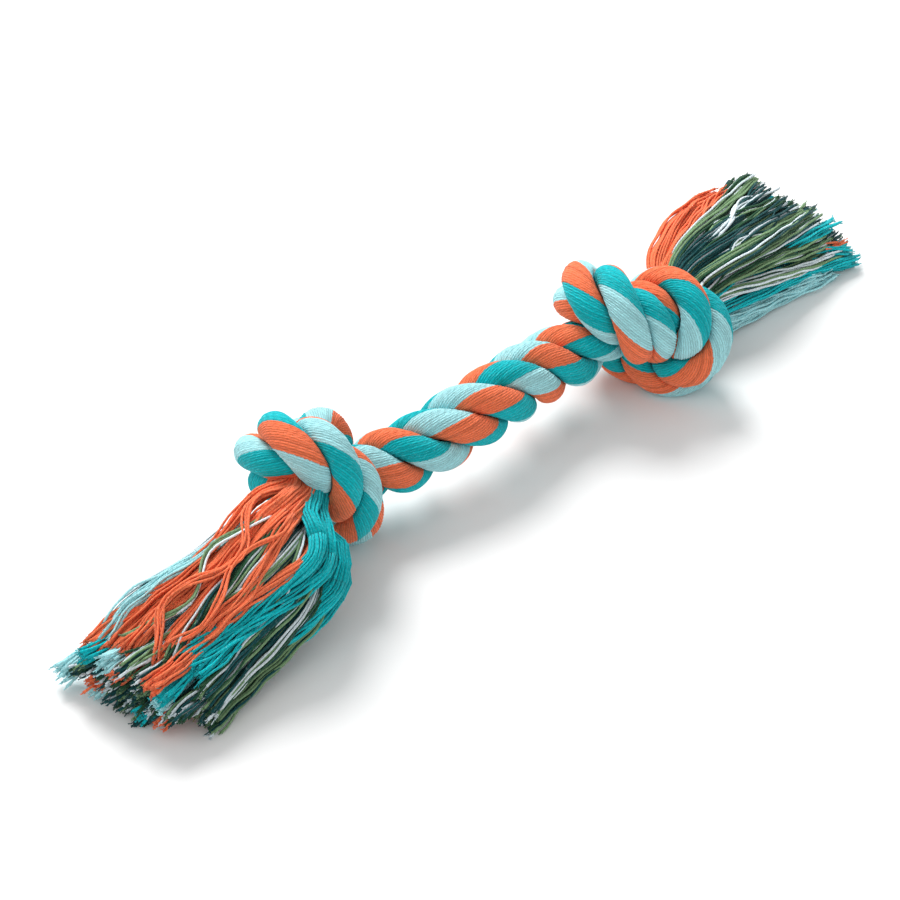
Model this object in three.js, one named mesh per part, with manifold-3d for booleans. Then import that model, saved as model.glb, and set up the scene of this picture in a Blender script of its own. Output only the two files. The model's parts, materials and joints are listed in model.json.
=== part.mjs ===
// A rope dog toy: a thick cotton rope of three strands, an overhand knot pulled
// tight near each end, and a tassel of loose yarn beyond each knot.
// Millimetres, +Z up, the rope along X, the toy lying on z = 0.
// The knots are not drawn: a loose overhand loop is pulled tight step by step,
// the three strands are wound round its centre line, and they settle against
// each other. Each strand's skin is then held back from its neighbours.

import * as THREE from "three";
import { mergeVertices } from "three/addons/utils/BufferGeometryUtils.js";
import Module from "manifold-3d";

// Driving dimensions
const ROPE = 26; // diameter of the laid rope
const LAY = 56; // length of rope in which a strand makes one turn
const STRAND_PITCH = 11.2; // centre distance of strands pressed together in the bar
const STRAND = 12.4; // diameter of a strand where nothing presses on it
const KNOT_SPAN = 154; // distance between the middles of the two knots
const KNOT_PITCH = 17; // distance between turns of the rope in a tight knot
const KNOT_STRAND_PITCH = 9.8; // centre distance of strands pressed together in a knot
const KNOT_STRAND_OFFSET = 5.6; // from the rope's centre line to a strand's in a knot
const KNOT_RADIUS = 24; // reach of the tight part of a knot from its middle
const KNOT_FADE = 14; // length over which the rope loosens out of a knot
const THROAT = 38; // from a knot's middle to the pivot of its tassel
const NECK = 35; // from a knot's middle back to the pivot at its end of the bar
const BAR_PIVOT = 20; // from the middle of the bar to the pivot on either side
const BAR_ARCH = 6; // rise of the bar's middle over its ends
const LEAD = 46; // straight rope kept on either side of a knot's middle
const THROAT_END = 60; // end of the wound rope, inside the tassel

// Clearances and steps
const GAP = 0.7; // between strands that lie side by side
const PIVOT_GAP = 0.5; // between a ball end and its socket
const BALL_OVER = 0.1; // by which a ball end is larger than the rope there
const FLAT = 1.2; // depth of the flats that the toy lies on
const ROPE_STEP = 3.8; // between nodes of the rope while a knot is pulled tight
const STRAND_STEP = 5; // between nodes of the rope when its strands are wound
const FINE_STEP = 1.1; // between points that hold back a neighbour's skin
const TINY = 1e-4; // height up to which a corner counts as lying on the floor

// Hand and roll of each knot about the rope, and where the strands' winding starts
const LEFT_KNOT = { hand: 1, roll: 10 };
const RIGHT_KNOT = { hand: -1, roll: 125 };
const START_TURN = 0;

// Tassels
const LEFT_TASSEL = { reach: 84, side: -18, width: 70, height: 30 };
const RIGHT_TASSEL = { reach: 86, side: 26, width: 72, height: 34 };
const TASSEL_ROOT = 26; // diameter of a tassel at its root
const LOCK = 6.4; // diameter of an outer lock of yarn at the root
const CORE_LOCK = 5.4; // diameter of a core lock at the root
const CORE_RING = 3.4; // from the tassel's middle to a core lock's

// Colours
const ORANGE = 0xe2663f;
const TEAL = 0x12a3a3;
const PALE = 0x9fd0cf;
const CORE = 0x2f5f55;

// Shares and counts
const LOOP_SHARE = 0.407; // of the knot pitch: size of the loose loop
const DEEP_SHARE = 1.3; // how far the loose loop opens sideways
const LEAD_SHARE = 1.76; // of the knot pitch: straight lead on the loose loop
const PULL_SHARE = 0.035; // of the knot pitch: pull in one step
const PULL_STEPS = 500;
const SETTLE_STEPS = 150;
const SIDES = 8;
const LOCK_SIDES = 7;
const LOCK_RINGS = 6;
const BALL_SIDES = 18;
const BALL_RINGS = 12;

const wasm = await Module();
wasm.setup();

// Points and lines

const point = (x, y, z) => new THREE.Vector3(x, y, z);
const mix = (a, b, share) => a.clone().lerp(b, share);
const smooth = (value) => THREE.MathUtils.smoothstep(value, 0, 1);

// Points at an even spacing along a line of points.
function resample(points, spacing) {
  const along = [0];
  for (let i = 1; i < points.length; i += 1) {
    along.push(along[i - 1] + points[i].distanceTo(points[i - 1]));
  }
  const total = along.at(-1);
  const count = Math.round(total / spacing);
  const result = [];
  let k = 0;
  for (let i = 0; i <= count; i += 1) {
    const target = (total * i) / count;
    while (k < points.length - 2 && along[k + 1] < target) {
      k += 1;
    }
    const share = (target - along[k]) / (along[k + 1] - along[k]);
    result.push(mix(points[k], points[k + 1], share));
  }
  return result;
}

// Direction of a line at each of its points.
function tangents(points) {
  const last = points.length - 1;
  return points.map((_, i) => {
    const ahead = points[Math.min(i + 1, last)];
    return ahead.clone().sub(points[Math.max(i - 1, 0)]).normalize();
  });
}

// A frame at each point of a line that turns as little as it can.
function frames(points) {
  const along = tangents(points);
  let across = point(0, 0, 1);
  return along.map((t) => {
    across = across.clone().addScaledVector(t, -across.dot(t)).normalize();
    return { t, u: across, v: t.clone().cross(across) };
  });
}

// Each point inside the line moves part of the way to the middle of its neighbours.
function soften(points, share) {
  const old = points.map((p) => p.clone());
  for (let i = 1; i < points.length - 1; i += 1) {
    const middle = mix(old[i - 1], old[i + 1], 0.5);
    points[i].lerp(middle, share);
  }
}

// The knot

// A loose overhand loop: the open part of a trefoil with two straight leads.
function looseLoop() {
  const size = KNOT_PITCH * LOOP_SHARE;
  const lead = KNOT_PITCH * LEAD_SHARE + 4 * size;
  const points = [point(-lead, 0, 0)];
  const turns = 400;
  const open = 0.3;
  for (let i = 0; i <= turns; i += 1) {
    const t = 3 * Math.PI - open - ((2 * Math.PI - 2 * open) * i) / turns;
    const x = Math.sin(t) + 2 * Math.sin(2 * t);
    const y = Math.cos(t) - 2 * Math.cos(2 * t) + 1.8;
    const z = -Math.sin(3 * t) * DEEP_SHARE;
    points.push(point(x, y, z).multiplyScalar(size));
  }
  points.push(point(lead, 0, 0));
  return points;
}

// Pull both ends of the loop while its length and thickness stay as they are.
function pullTight(points) {
  const skip = Math.ceil((1.3 * KNOT_PITCH) / ROPE_STEP);
  const before = points.map((p) => p.clone());
  const last = points.length - 1;
  for (let step = 0; step < PULL_STEPS; step += 1) {
    const pull = KNOT_PITCH * PULL_SHARE * Math.min(1, 2 * (1 - step / PULL_STEPS));
    points.forEach((p, i) => {
      const drift = p.clone().sub(before[i]).multiplyScalar(0.93);
      before[i].copy(p);
      p.add(drift);
    });
    points[0].x -= pull;
    points[last].x += pull;
    soften(points, 0.1);
    for (let sweep = 0; sweep < 2; sweep += 1) {
      keepLengths(points);
      keepApart(points, skip);
    }
    const middle = mix(points[0], points[last], 0.5);
    points.forEach((p) => p.sub(point(0, middle.y, middle.z)));
  }
  const xs = points.map((p) => p.x);
  const centre = (Math.min(...xs) + Math.max(...xs)) / 2;
  points.forEach((p) => p.sub(point(centre, 0, 0)));
  return points;
}

function keepLengths(points) {
  for (let first = 0; first < 2; first += 1) {
    for (let i = first; i < points.length - 1; i += 2) {
      const gap = points[i + 1].clone().sub(points[i]);
      const length = gap.length();
      gap.multiplyScalar((0.5 * (length - ROPE_STEP)) / length);
      points[i].add(gap);
      points[i + 1].sub(gap);
    }
  }
}

function keepApart(points, skip) {
  const push = points.map(() => point(0, 0, 0));
  const touches = points.map(() => 0);
  for (let i = 0; i < points.length; i += 1) {
    for (let j = i + skip; j < points.length; j += 1) {
      const gap = points[j].clone().sub(points[i]);
      const length = gap.length();
      if (length < KNOT_PITCH) {
        gap.multiplyScalar((0.5 * (KNOT_PITCH - length)) / length);
        push[i].sub(gap);
        push[j].add(gap);
        touches[i] += 1;
        touches[j] += 1;
      }
    }
  }
  points.forEach((p, i) => p.addScaledVector(push[i], 1.2 / Math.max(touches[i], 1)));
}

// The rope's centre line: throat, left knot, bar, right knot, throat.
function ropeLine(knot) {
  const half = KNOT_SPAN / 2;
  const place = (side, { hand, roll }) => {
    const axis = point(1, 0, 0);
    const kept = knot.filter((p) => Math.abs(p.x) < LEAD);
    const handed = kept.map((p) => point(p.x, p.y, hand * p.z));
    const turned = handed.map((p) => p.applyAxisAngle(axis, THREE.MathUtils.degToRad(roll)));
    return turned.map((p) => p.add(point(side * half, 0, 0)));
  };
  const left = place(-1, LEFT_KNOT);
  const right = place(1, RIGHT_KNOT);
  const end = half + THROAT_END;
  let line = [point(-end, 0, 0), ...left, point(0, 0, 0), ...right, point(end, 0, 0)];
  for (let round = 0; round < 2; round += 1) {
    line = resample(line, ROPE_STEP / 2);
    for (let pass = 0; pass < 6; pass += 1) {
      soften(line, 0.3);
    }
  }
  line = resample(line, STRAND_STEP);
  for (const p of line) {
    p.z += BAR_ARCH * (1 - smooth(Math.abs(p.x) / (half - KNOT_RADIUS)));
  }
  return line;
}

// How firmly each node of the rope is held in a knot, from 0 in the bar to 1.
function tightness(line) {
  const half = KNOT_SPAN / 2;
  return line.map((p) => {
    const away = Math.min(p.distanceTo(point(-half, 0, 0)), p.distanceTo(point(half, 0, 0)));
    return smooth((KNOT_RADIUS + 0.7 * KNOT_FADE - away) / KNOT_FADE);
  });
}

// The strands

// Three strands wound round the rope's centre line, one node to each of its nodes.
function wind(line, tight) {
  const turned = frames(line);
  const loose = (ROPE - STRAND_PITCH) / 2;
  return [0, 1, 2].map((strand) =>
    line.map((p, i) => {
      const offset = THREE.MathUtils.lerp(loose, KNOT_STRAND_OFFSET, tight[i]);
      const turn = 2 * Math.PI * ((i * STRAND_STEP) / LAY + strand / 3) + START_TURN;
      const { u, v } = turned[i];
      const out = u.clone().multiplyScalar(Math.cos(turn)).addScaledVector(v, Math.sin(turn));
      return p.clone().addScaledVector(out, offset);
    }),
  );
}

// The strands push each other apart until they lie side by side.
function settle(strands, tight) {
  const nodes = [];
  strands.forEach((points, strand) => {
    points.forEach((p, i) => {
      const pitch = THREE.MathUtils.lerp(STRAND_PITCH, KNOT_STRAND_PITCH, tight[i]);
      const middle = point(Math.sign(p.x) * (KNOT_SPAN / 2), 0, 0);
      nodes.push({ p, home: p.clone(), strand, i, pitch, held: 1 - tight[i], middle });
    });
  });
  for (let step = 0; step < SETTLE_STEPS; step += 1) {
    pushNodes(nodes);
    strands.forEach((points) => {
      const old = points.map((p) => p.clone());
      for (let i = 1; i < points.length - 1; i += 1) {
        points[i].lerp(mix(old[i - 1], old[i + 1], 0.5), 0.25 * tight[i]);
      }
    });
    const squeeze = step < 0.8 * SETTLE_STEPS ? 0.012 : 0;
    nodes.forEach(({ p, home, held, middle }) => {
      p.lerp(home, 0.5 * held);
      if (p.distanceTo(middle) < KNOT_RADIUS + KNOT_FADE) {
        p.lerp(middle, squeeze * (1 - held));
      }
    });
  }
  return strands;
}

function pushNodes(nodes) {
  nodes.forEach((node) => {
    node.push = point(0, 0, 0);
    node.touches = 0;
  });
  for (let a = 0; a < nodes.length; a += 1) {
    const first = nodes[a];
    for (let b = a + 1; b < nodes.length; b += 1) {
      const second = nodes[b];
      if (Math.abs(first.p.x - second.p.x) > STRAND_PITCH) continue;
      if (first.strand === second.strand && second.i - first.i < 4) continue;
      const want = (first.pitch + second.pitch) / 2;
      const gap = second.p.clone().sub(first.p);
      const length = gap.length();
      if (length < want) {
        gap.multiplyScalar((0.5 * (want - length)) / length);
        first.push.sub(gap);
        second.push.add(gap);
        first.touches += 1;
        second.touches += 1;
      }
    }
  }
  nodes.forEach(({ p, push, touches }) => p.addScaledVector(push, 1 / Math.max(touches, 1)));
}

// Skins

// Distance from a ring's middle to its skin along each spoke: the strand's own
// radius, or less where a plane half way to a neighbour is nearer.
function spokes(centre, directions, own, others) {
  return directions.map((out) => {
    let reach = STRAND / 2;
    others.forEach(({ p, strand, s }) => {
      const gap = p.clone().sub(centre);
      const length = gap.length();
      if (length > STRAND) return;
      const facing = out.dot(gap) / length;
      if (facing <= 0) return;
      const near = strand === own.strand && Math.abs(s - own.s) < STRAND;
      if (near && Math.abs(s - own.s) < STRAND / 6) return;
      const half = near ? 0.85 * (length / 2) : (length - GAP) / 2;
      reach = Math.min(reach, half / facing);
    });
    return reach;
  });
}

// The rings of one strand, as corner points. The skin is measured twice as
// finely as it is drawn, and each corner takes the least of what lies round it,
// so that the flat faces between corners stay clear too.
function skin(points, strand, others) {
  const doubled = new THREE.CatmullRomCurve3(points).getPoints(2 * (points.length - 1));
  const turned = frames(doubled);
  let s = 0;
  const around = (i, sides) => {
    const { u, v } = turned[i];
    return Array.from({ length: sides }, (_, k) => {
      const angle = (2 * Math.PI * k) / sides;
      return u.clone().multiplyScalar(Math.cos(angle)).addScaledVector(v, Math.sin(angle));
    });
  };
  const reaches = doubled.map((centre, i) => {
    if (i > 0) s += centre.distanceTo(doubled[i - 1]);
    return spokes(centre, around(i, 2 * SIDES), { strand, s }, others);
  });
  return points.map((centre, i) => {
    const nearby = [2 * i - 1, 2 * i, 2 * i + 1].filter((j) => reaches[j]);
    return around(2 * i, SIDES).map((out, k) => {
      const turns = [2 * k + 2 * SIDES - 1, 2 * k, 2 * k + 1].map((turn) => turn % (2 * SIDES));
      const reach = Math.min(...nearby.flatMap((j) => turns.map((turn) => reaches[j][turn])));
      return centre.clone().addScaledVector(out, reach);
    });
  });
}

// A closed tube through a row of rings, with a point in the middle of each end.
function tube(rings) {
  const sides = rings[0].length;
  const vertices = rings.flat();
  const faces = [];
  for (let i = 0; i < rings.length - 1; i += 1) {
    for (let k = 0; k < sides; k += 1) {
      const a = i * sides + k;
      const b = i * sides + ((k + 1) % sides);
      faces.push(a, b, b + sides, a, b + sides, a + sides);
    }
  }
  const cap = (ring, first, flip) => {
    const middle = vertices.length;
    const centre = ring.reduce((sum, p) => sum.add(p), point(0, 0, 0)).divideScalar(sides);
    vertices.push(centre);
    for (let k = 0; k < sides; k += 1) {
      const a = first + k;
      const b = first + ((k + 1) % sides);
      faces.push(middle, flip ? b : a, flip ? a : b);
    }
  };
  cap(rings[0], 0, true);
  cap(rings.at(-1), (rings.length - 1) * sides, false);
  const geometry = new THREE.BufferGeometry();
  const numbers = vertices.flatMap((p) => [p.x, p.y, p.z]);
  geometry.setAttribute("position", new THREE.Float32BufferAttribute(numbers, 3));
  geometry.setIndex(faces);
  return geometry;
}

// Solids

function solid(geometry, place = point(0, 0, 0)) {
  const bare = geometry.clone();
  bare.deleteAttribute("normal");
  bare.deleteAttribute("uv");
  bare.translate(place.x, place.y, place.z);
  const merged = mergeVertices(bare);
  return new wasm.Manifold(
    new wasm.Mesh({
      numProp: 3,
      vertProperties: new Float32Array(merged.attributes.position.array),
      triVerts: new Uint32Array(merged.index.array),
    }),
  );
}

// The ball round a pivot, with room for it to turn where a gap is given.
function ball(pivot, gap = 0) {
  return solid(new THREE.SphereGeometry(balls.get(pivot) + gap, BALL_SIDES, BALL_RINGS), pivot);
}

// All that lies beyond a pivot in the direction given, and the ball round it.
function beyond(pivot, direction, gap = 0) {
  const size = 4 * KNOT_SPAN;
  const box = new THREE.BoxGeometry(size, size, size);
  const half = solid(box, pivot.clone().add(point((direction * size) / 2, 0, 0)));
  return half.add(ball(pivot, gap));
}

function belowFloor() {
  const size = 4 * KNOT_SPAN;
  return solid(new THREE.BoxGeometry(size, size, size), point(0, 0, -size / 2));
}

function mesh(name, shape, colour) {
  const { vertProperties, triVerts } = shape.getMesh();
  const geometry = new THREE.BufferGeometry();
  geometry.setAttribute("position", new THREE.BufferAttribute(new Float32Array(vertProperties), 3));
  geometry.setIndex(new THREE.BufferAttribute(new Uint32Array(triVerts), 1));
  const material = new THREE.MeshStandardMaterial({ color: colour, roughness: 0.95, metalness: 0 });
  const result = new THREE.Mesh(geometry, material);
  result.name = name;
  return result;
}

// The toy

const knot = pullTight(resample(looseLoop(), ROPE_STEP));
const line = ropeLine(knot);
const tight = tightness(line);
const strands = settle(wind(line, tight), tight);

// Each knot is lowered or raised so that its lowest skin is FLAT below the floor.
const half = KNOT_SPAN / 2;
const lowest = (side) => {
  const inKnot = strands.flat().filter((p) => Math.abs(p.x - side * half) < KNOT_RADIUS);
  return Math.min(...inKnot.map((p) => p.z)) - STRAND / 2;
};
const lift = { left: -FLAT - lowest(-1), right: -FLAT - lowest(1) };
const raise = (p) => {
  const share = smooth((p.x + half - KNOT_RADIUS) / (KNOT_SPAN - 2 * KNOT_RADIUS));
  p.z += THREE.MathUtils.lerp(lift.left, lift.right, share);
};
strands.flat().forEach(raise);
line.forEach(raise);

const fine = strands.map((points) => {
  const curve = new THREE.CatmullRomCurve3(points);
  const even = resample(curve.getPoints(points.length * 6), FINE_STEP);
  return even;
});
const others = fine.flatMap((points, strand) => {
  let s = 0;
  return points.map((p, i) => {
    if (i > 0) s += p.distanceTo(points[i - 1]);
    return { p, strand, s };
  });
});
const rings = strands.map((points, strand) => skin(points, strand, others));

// Pivots stand on the rope's centre line. One past a knot is looked for from the
// rope's end and one in the bar from the bar's middle, so never inside a knot.
function pivotAt(x) {
  const side = Math.sign(x);
  const past = Math.abs(x) > half;
  const count = line.length;
  const middle = Math.floor(count / 2);
  const walk = Array.from({ length: middle }, (_, i) => {
    const fromEnd = side < 0 ? i : count - 1 - i;
    const fromMiddle = middle + side * i;
    return past ? fromEnd : fromMiddle;
  });
  const reached = (p) => (past ? side * p.x <= side * x : side * p.x >= side * x);
  const step = walk.findIndex((i) => reached(line[i]));
  const [before, after] = [line[walk[step - 1]], line[walk[step]]];
  const pivot = mix(before, after, (x - before.x) / (after.x - before.x));
  return Object.assign(pivot, { node: walk[step] });
}

const places = {
  left_throat: -half - THROAT,
  left_neck: -half + NECK,
  left_bend: -BAR_PIVOT,
  right_bend: BAR_PIVOT,
  right_neck: half - NECK,
  right_throat: half + THROAT,
};
const pivots = Object.fromEntries(Object.entries(places).map(([name, x]) => [name, pivotAt(x)]));

// A ball end holds all of the rope that passes over its pivot.
const balls = new Map();
Object.values(pivots).forEach((pivot) => {
  const beside = rings.flat(2).filter((p) => Math.abs(p.x - pivot.x) < STRAND_STEP);
  const reaches = beside.map((p) => Math.hypot(p.y - pivot.y, p.z - pivot.z));
  balls.set(pivot, Math.max(...reaches.filter((reach) => reach < ROPE)) + BALL_OVER);
});
const toy = new THREE.Group();
const letters = ["a", "b", "c"];
const strandColours = [ORANGE, TEAL, PALE];
const floor = belowFloor();

// The three strands from one pivot to another, with some nodes to spare at each
// end, cut by the keepers and cutters of their body.
function rope(body, from, to, keepers, cutters) {
  const spare = Math.ceil(ROPE / 2 / STRAND_STEP) + 2;
  const first = Math.max(Math.min(from.node, to.node) - spare, 0);
  const last = Math.min(Math.max(from.node, to.node) + spare, line.length - 1);
  letters.forEach((letter, strand) => {
    let shape = solid(tube(rings[strand].slice(first, last + 1)));
    keepers.forEach((keeper) => {
      shape = shape.intersect(keeper);
    });
    [...cutters, floor].forEach((cutter) => {
      shape = shape.subtract(cutter);
    });
    toy.add(mesh(`${body}_strand_${letter}`, shape, strandColours[strand]));
  });
}

// Bar end, knot and throat on one side. Each has a ball at its inner pivot and a
// socket round the ball at its outer one.
function end(name, side) {
  const neck = pivots[`${name}_neck`];
  const bend = pivots[`${name}_bend`];
  const throat = pivots[`${name}_throat`];
  rope(`${name}_bar`, bend, neck, [beyond(bend, side)], [beyond(neck, side, PIVOT_GAP)]);
  rope(`${name}_knot`, neck, throat, [beyond(neck, side)], [beyond(throat, side, PIVOT_GAP)]);
  rope(`${name}_throat`, throat, throat, [ball(throat)], []);
}

const { left_bend: leftBend, right_bend: rightBend } = pivots;
rope("bar", leftBend, rightBend, [], [beyond(leftBend, -1, PIVOT_GAP), beyond(rightBend, 1, PIVOT_GAP)]);
end("left", -1);
end("right", 1);

// The tassels

// Twelve locks of yarn: an outer orange, teal and pale one and a core one from
// each strand, spread from the throat into a flattened brush.
function tassel(name, side, size) {
  const pivot = pivots[`${name}_throat`];
  const root = TASSEL_ROOT / 2;
  const yaw = Math.atan2(size.side, size.reach);
  const along = point(side * Math.cos(yaw), Math.sin(yaw), 0);
  const across = point(-Math.sin(yaw), side * Math.cos(yaw), 0);
  const reach = Math.hypot(size.reach, size.side);
  const tip = (size.height - FLAT) / 2;

  // A point a share of the way along, y to the side and z up at the root. The
  // brush widens and flattens towards its tips, which lie on an arc.
  const place = (share, y, z) => {
    const spread = smooth(share);
    const wide = y * THREE.MathUtils.lerp(1, size.width / TASSEL_ROOT, spread);
    const high = z * THREE.MathUtils.lerp(1, size.height / TASSEL_ROOT, spread);
    const arc = (spread * wide * wide) / (2 * reach);
    const level = THREE.MathUtils.lerp(pivot.z, tip, spread);
    const p = pivot.clone().setZ(level + high);
    return p.addScaledVector(along, reach * share - arc).addScaledVector(across, wide);
  };
  const lock = (turn, ring, diameter, endShare) => {
    const startShare = STRAND_STEP / reach;
    const circle = Array.from({ length: LOCK_SIDES }, (_, k) => (2 * Math.PI * k) / LOCK_SIDES);
    return tube(
      Array.from({ length: LOCK_RINGS }, (_, i) => {
        const share = THREE.MathUtils.lerp(startShare, endShare, i / (LOCK_RINGS - 1));
        return circle.map((angle) => {
          const y = ring * Math.cos(turn) + (diameter / 2) * Math.cos(angle);
          const z = ring * Math.sin(turn) + (diameter / 2) * Math.sin(angle);
          return place(share, y, z);
        });
      }),
    );
  };
  const cutter = ball(pivot, PIVOT_GAP).add(floor);
  const kinds = [["orange", ORANGE], ["teal", TEAL], ["pale", PALE]];
  letters.forEach((letter, strand) => {
    kinds.forEach(([kind, colour], k) => {
      const turn = (2 * Math.PI * (3 * strand + k)) / 9;
      const shape = solid(lock(turn, root - LOCK / 2, LOCK, 1 - 0.04 * k));
      toy.add(mesh(`${name}_tassel_${kind}_${letter}`, shape.subtract(cutter), colour));
    });
    const turn = (2 * Math.PI * (3 * strand + 1)) / 9;
    const core = solid(lock(turn, CORE_RING, CORE_LOCK, 0.96));
    toy.add(mesh(`${name}_tassel_core_${letter}`, core.subtract(cutter), CORE));
  });
}
tassel("left", -1, LEFT_TASSEL);
tassel("right", 1, RIGHT_TASSEL);

// The origin is under the middle of the toy.
toy.updateMatrixWorld(true);
const box = new THREE.Box3().setFromObject(toy);
const middle = box.getCenter(point(0, 0, 0));
toy.position.set(-middle.x, -middle.y, 0);

// What the record and the reader need: size, least distance between strands,
// the pivots, and the middle of the largest flat under each knot.
function leastDistance() {
  let least = STRAND;
  others.forEach((a, i) => {
    for (let j = i + 1; j < others.length; j += 1) {
      const b = others[j];
      if (a.strand === b.strand && b.s - a.s < 1.5 * STRAND) continue;
      least = Math.min(least, a.p.distanceTo(b.p));
    }
  });
  return least;
}

function largestFlat(prefix) {
  let best = { area: 0 };
  toy.children.forEach((part) => {
    if (!part.name.startsWith(prefix)) return;
    const { position } = part.geometry.attributes;
    const corner = (k) => new THREE.Vector3().fromBufferAttribute(position, part.geometry.index.getX(k));
    const sum = { area: 0, middle: point(0, 0, 0) };
    for (let k = 0; k < part.geometry.index.count; k += 3) {
      const face = new THREE.Triangle(corner(k), corner(k + 1), corner(k + 2));
      if (Math.max(face.a.z, face.b.z, face.c.z) > TINY) continue;
      sum.area += face.getArea();
      sum.middle.addScaledVector(face.getMidpoint(point(0, 0, 0)), face.getArea());
    }
    if (sum.area > best.area) {
      best = { area: sum.area, name: part.name, middle: sum.middle.divideScalar(sum.area) };
    }
  });
  return best;
}

const metres = (p) => p.clone().add(toy.position).divideScalar(1000).toArray().map((v) => v.toFixed(5));
const triangles = toy.children.reduce((sum, part) => sum + part.geometry.index.count / 3, 0);
const size = box.getSize(point(0, 0, 0));
console.log("size", size.toArray().map((v) => v.toFixed(1)).join(" x "), "triangles", triangles);
console.log("least distance between strands' centre lines", leastDistance().toFixed(2));
Object.entries(pivots).forEach(([name, p]) => {
  console.log(name, metres(p).join(", "), "ball", balls.get(p).toFixed(2));
});
["left_knot", "right_knot", "left_tassel", "right_tassel"].forEach((prefix) => {
  const flat = largestFlat(prefix);
  console.log(prefix, "flat", flat.name, metres(flat.middle).join(", "), flat.area.toFixed(1), "mm2");
});

export default toy;
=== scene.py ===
"""Rope dog toy: a thick cotton rope of three strands with an overhand knot near
each end and a tassel of loose yarn beyond each knot.

The rope is worked out in millimetres: a loose overhand loop is pulled tight
step by step, three strands are wound round its centre line, they settle against
each other, and each strand's skin is held back by its neighbours. Each strand is
covered with twisted yarn, drawn as ridges that follow the yarns, and every
yarn of the tassels is a tube of its own.
"""

import json
import math

import bpy
import numpy as np
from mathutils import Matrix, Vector


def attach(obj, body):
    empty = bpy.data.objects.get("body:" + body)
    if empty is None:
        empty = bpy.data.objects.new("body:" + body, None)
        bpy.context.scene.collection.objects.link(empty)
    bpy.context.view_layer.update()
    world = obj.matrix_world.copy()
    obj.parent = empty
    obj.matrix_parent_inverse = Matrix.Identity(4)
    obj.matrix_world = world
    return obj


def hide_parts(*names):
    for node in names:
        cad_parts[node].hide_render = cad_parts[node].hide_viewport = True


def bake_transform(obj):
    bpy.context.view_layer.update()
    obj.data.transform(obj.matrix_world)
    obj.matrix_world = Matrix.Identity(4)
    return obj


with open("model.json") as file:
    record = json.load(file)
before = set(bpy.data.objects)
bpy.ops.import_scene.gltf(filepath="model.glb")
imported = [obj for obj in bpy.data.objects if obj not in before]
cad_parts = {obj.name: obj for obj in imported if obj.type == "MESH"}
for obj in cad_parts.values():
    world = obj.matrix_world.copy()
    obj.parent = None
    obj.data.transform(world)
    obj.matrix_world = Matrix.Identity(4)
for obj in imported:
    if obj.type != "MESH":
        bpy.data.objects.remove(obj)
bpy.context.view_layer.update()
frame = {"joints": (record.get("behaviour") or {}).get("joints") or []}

bl_info = {
    "name": "Rope dog toy",
    "version": (1, 0, 0),
    "blender": (4, 5, 0),
    "location": "View3D > Sidebar > Rope Toy",
    "description": "Builds a knotted cotton rope toy with frayed tassels",
    "category": "Add Mesh",
}

JOINTS = {joint["name"]: np.array(joint.get("pos_m", (0, 0, 0))) for joint in frame["joints"]}
MM = 0.001

# The rope's route, in millimetres, as in the part's own source
ROPE = 26.0
LAY = 56.0
STRAND_PITCH = 11.2
STRAND = 12.4
KNOT_SPAN = 154.0
KNOT_PITCH = 17.0
KNOT_STRAND_PITCH = 9.8
KNOT_STRAND_OFFSET = 5.6
KNOT_RADIUS = 24.0
KNOT_FADE = 14.0
BAR_PIVOT = 20.0
BAR_ARCH = 6.0
LEAD = 46.0
THROAT_END = 60.0
FLAT = 1.2
ROPE_STEP = 3.8
STRAND_STEP = 5.0
LEFT_KNOT = (1, 10.0)  # hand, and roll about the rope in degrees
RIGHT_KNOT = (-1, 125.0)
LOOP_SHARE = 0.407
DEEP_SHARE = 1.3
LEAD_SHARE = 1.76
LOOP_OPENING = 0.3  # radians of the trefoil left out at either end
LOOP_POINTS = 401
LOOP_LIFT = 1.8  # added to the trefoil's y, which brings its ends nearer to the leads
LINE_SOFTENING = 0.3
LINE_ROUNDS = 6  # of softening
PULL_SHARE = 0.035
PULL_STEPS = 500
PULL_DRIFT = 0.93  # share of its last step that a point goes on with
PULL_SOFTENING = 0.1
PULL_PUSH = 1.2
SAME_TURN = 1.3  # pitches along the line within which points don't push each other
SETTLE_STEPS = 150
SETTLE_SQUEEZE = 0.012  # share of the way to the knot's middle at each step
SQUEEZED_SHARE = 0.8  # of the steps
SETTLE_SOFTENING = 0.25
SETTLE_HOLD = 0.5  # share of the way home outside the knots at each step
STRAND_SKIP = 4  # steps along one strand within which points don't push each other
FADE_SHIFT = 0.7
ROUTE_TOLERANCE = 0.5  # by which the route may miss the frame in height

# What is drawn along it
RING_STEP = 1.0  # between rings of a strand's skin
YARN_COLUMNS = 4  # columns of the skin for one yarn
BEND_REACH = 9.0  # half the length of rope that bends at a pivot
PIECE_REACH = 12.5  # from a pivot to the end of the piece that bends there
SIGNS = {"left": -1, "right": 1}

# What presses on a strand's skin
PRESS_REACH = 2.2  # strand radii within which a point of the rope can press
OWN_STRETCH = 2.5  # length of its own strand that can't press on a ring
OWN_SHARE = 0.45  # a strand folded on itself stays short of the plane half way
LEAST_FACING = 0.02
NO_LIMIT = 99.0
ROUNDING = 10  # power that rounds the edge between the skin and a plane
LEAST_REACH = 0.4
COVER_SEED = 7
SWELL = 0.12  # of a strand's radius, in millimetres
SWELL_STEP = 14  # rings from one swelling to the next
LIFT = 0.3  # of single yarns, in depths of a yarn
LIFT_STEP = 9

# Before a throat's pivot, in millimetres along the rope
TAPER = (26.0, 8.0)  # where the skin starts to shrink, and where it stops
TAPER_SHARE = 0.55  # and how far it shrinks towards the rope's line
THROAT_SEAM = 14.0  # end of the knot's pieces
THROAT_BEND = 11.0  # start of the bend
THROAT_STOP = 2.0  # end of the throat's pieces

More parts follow.
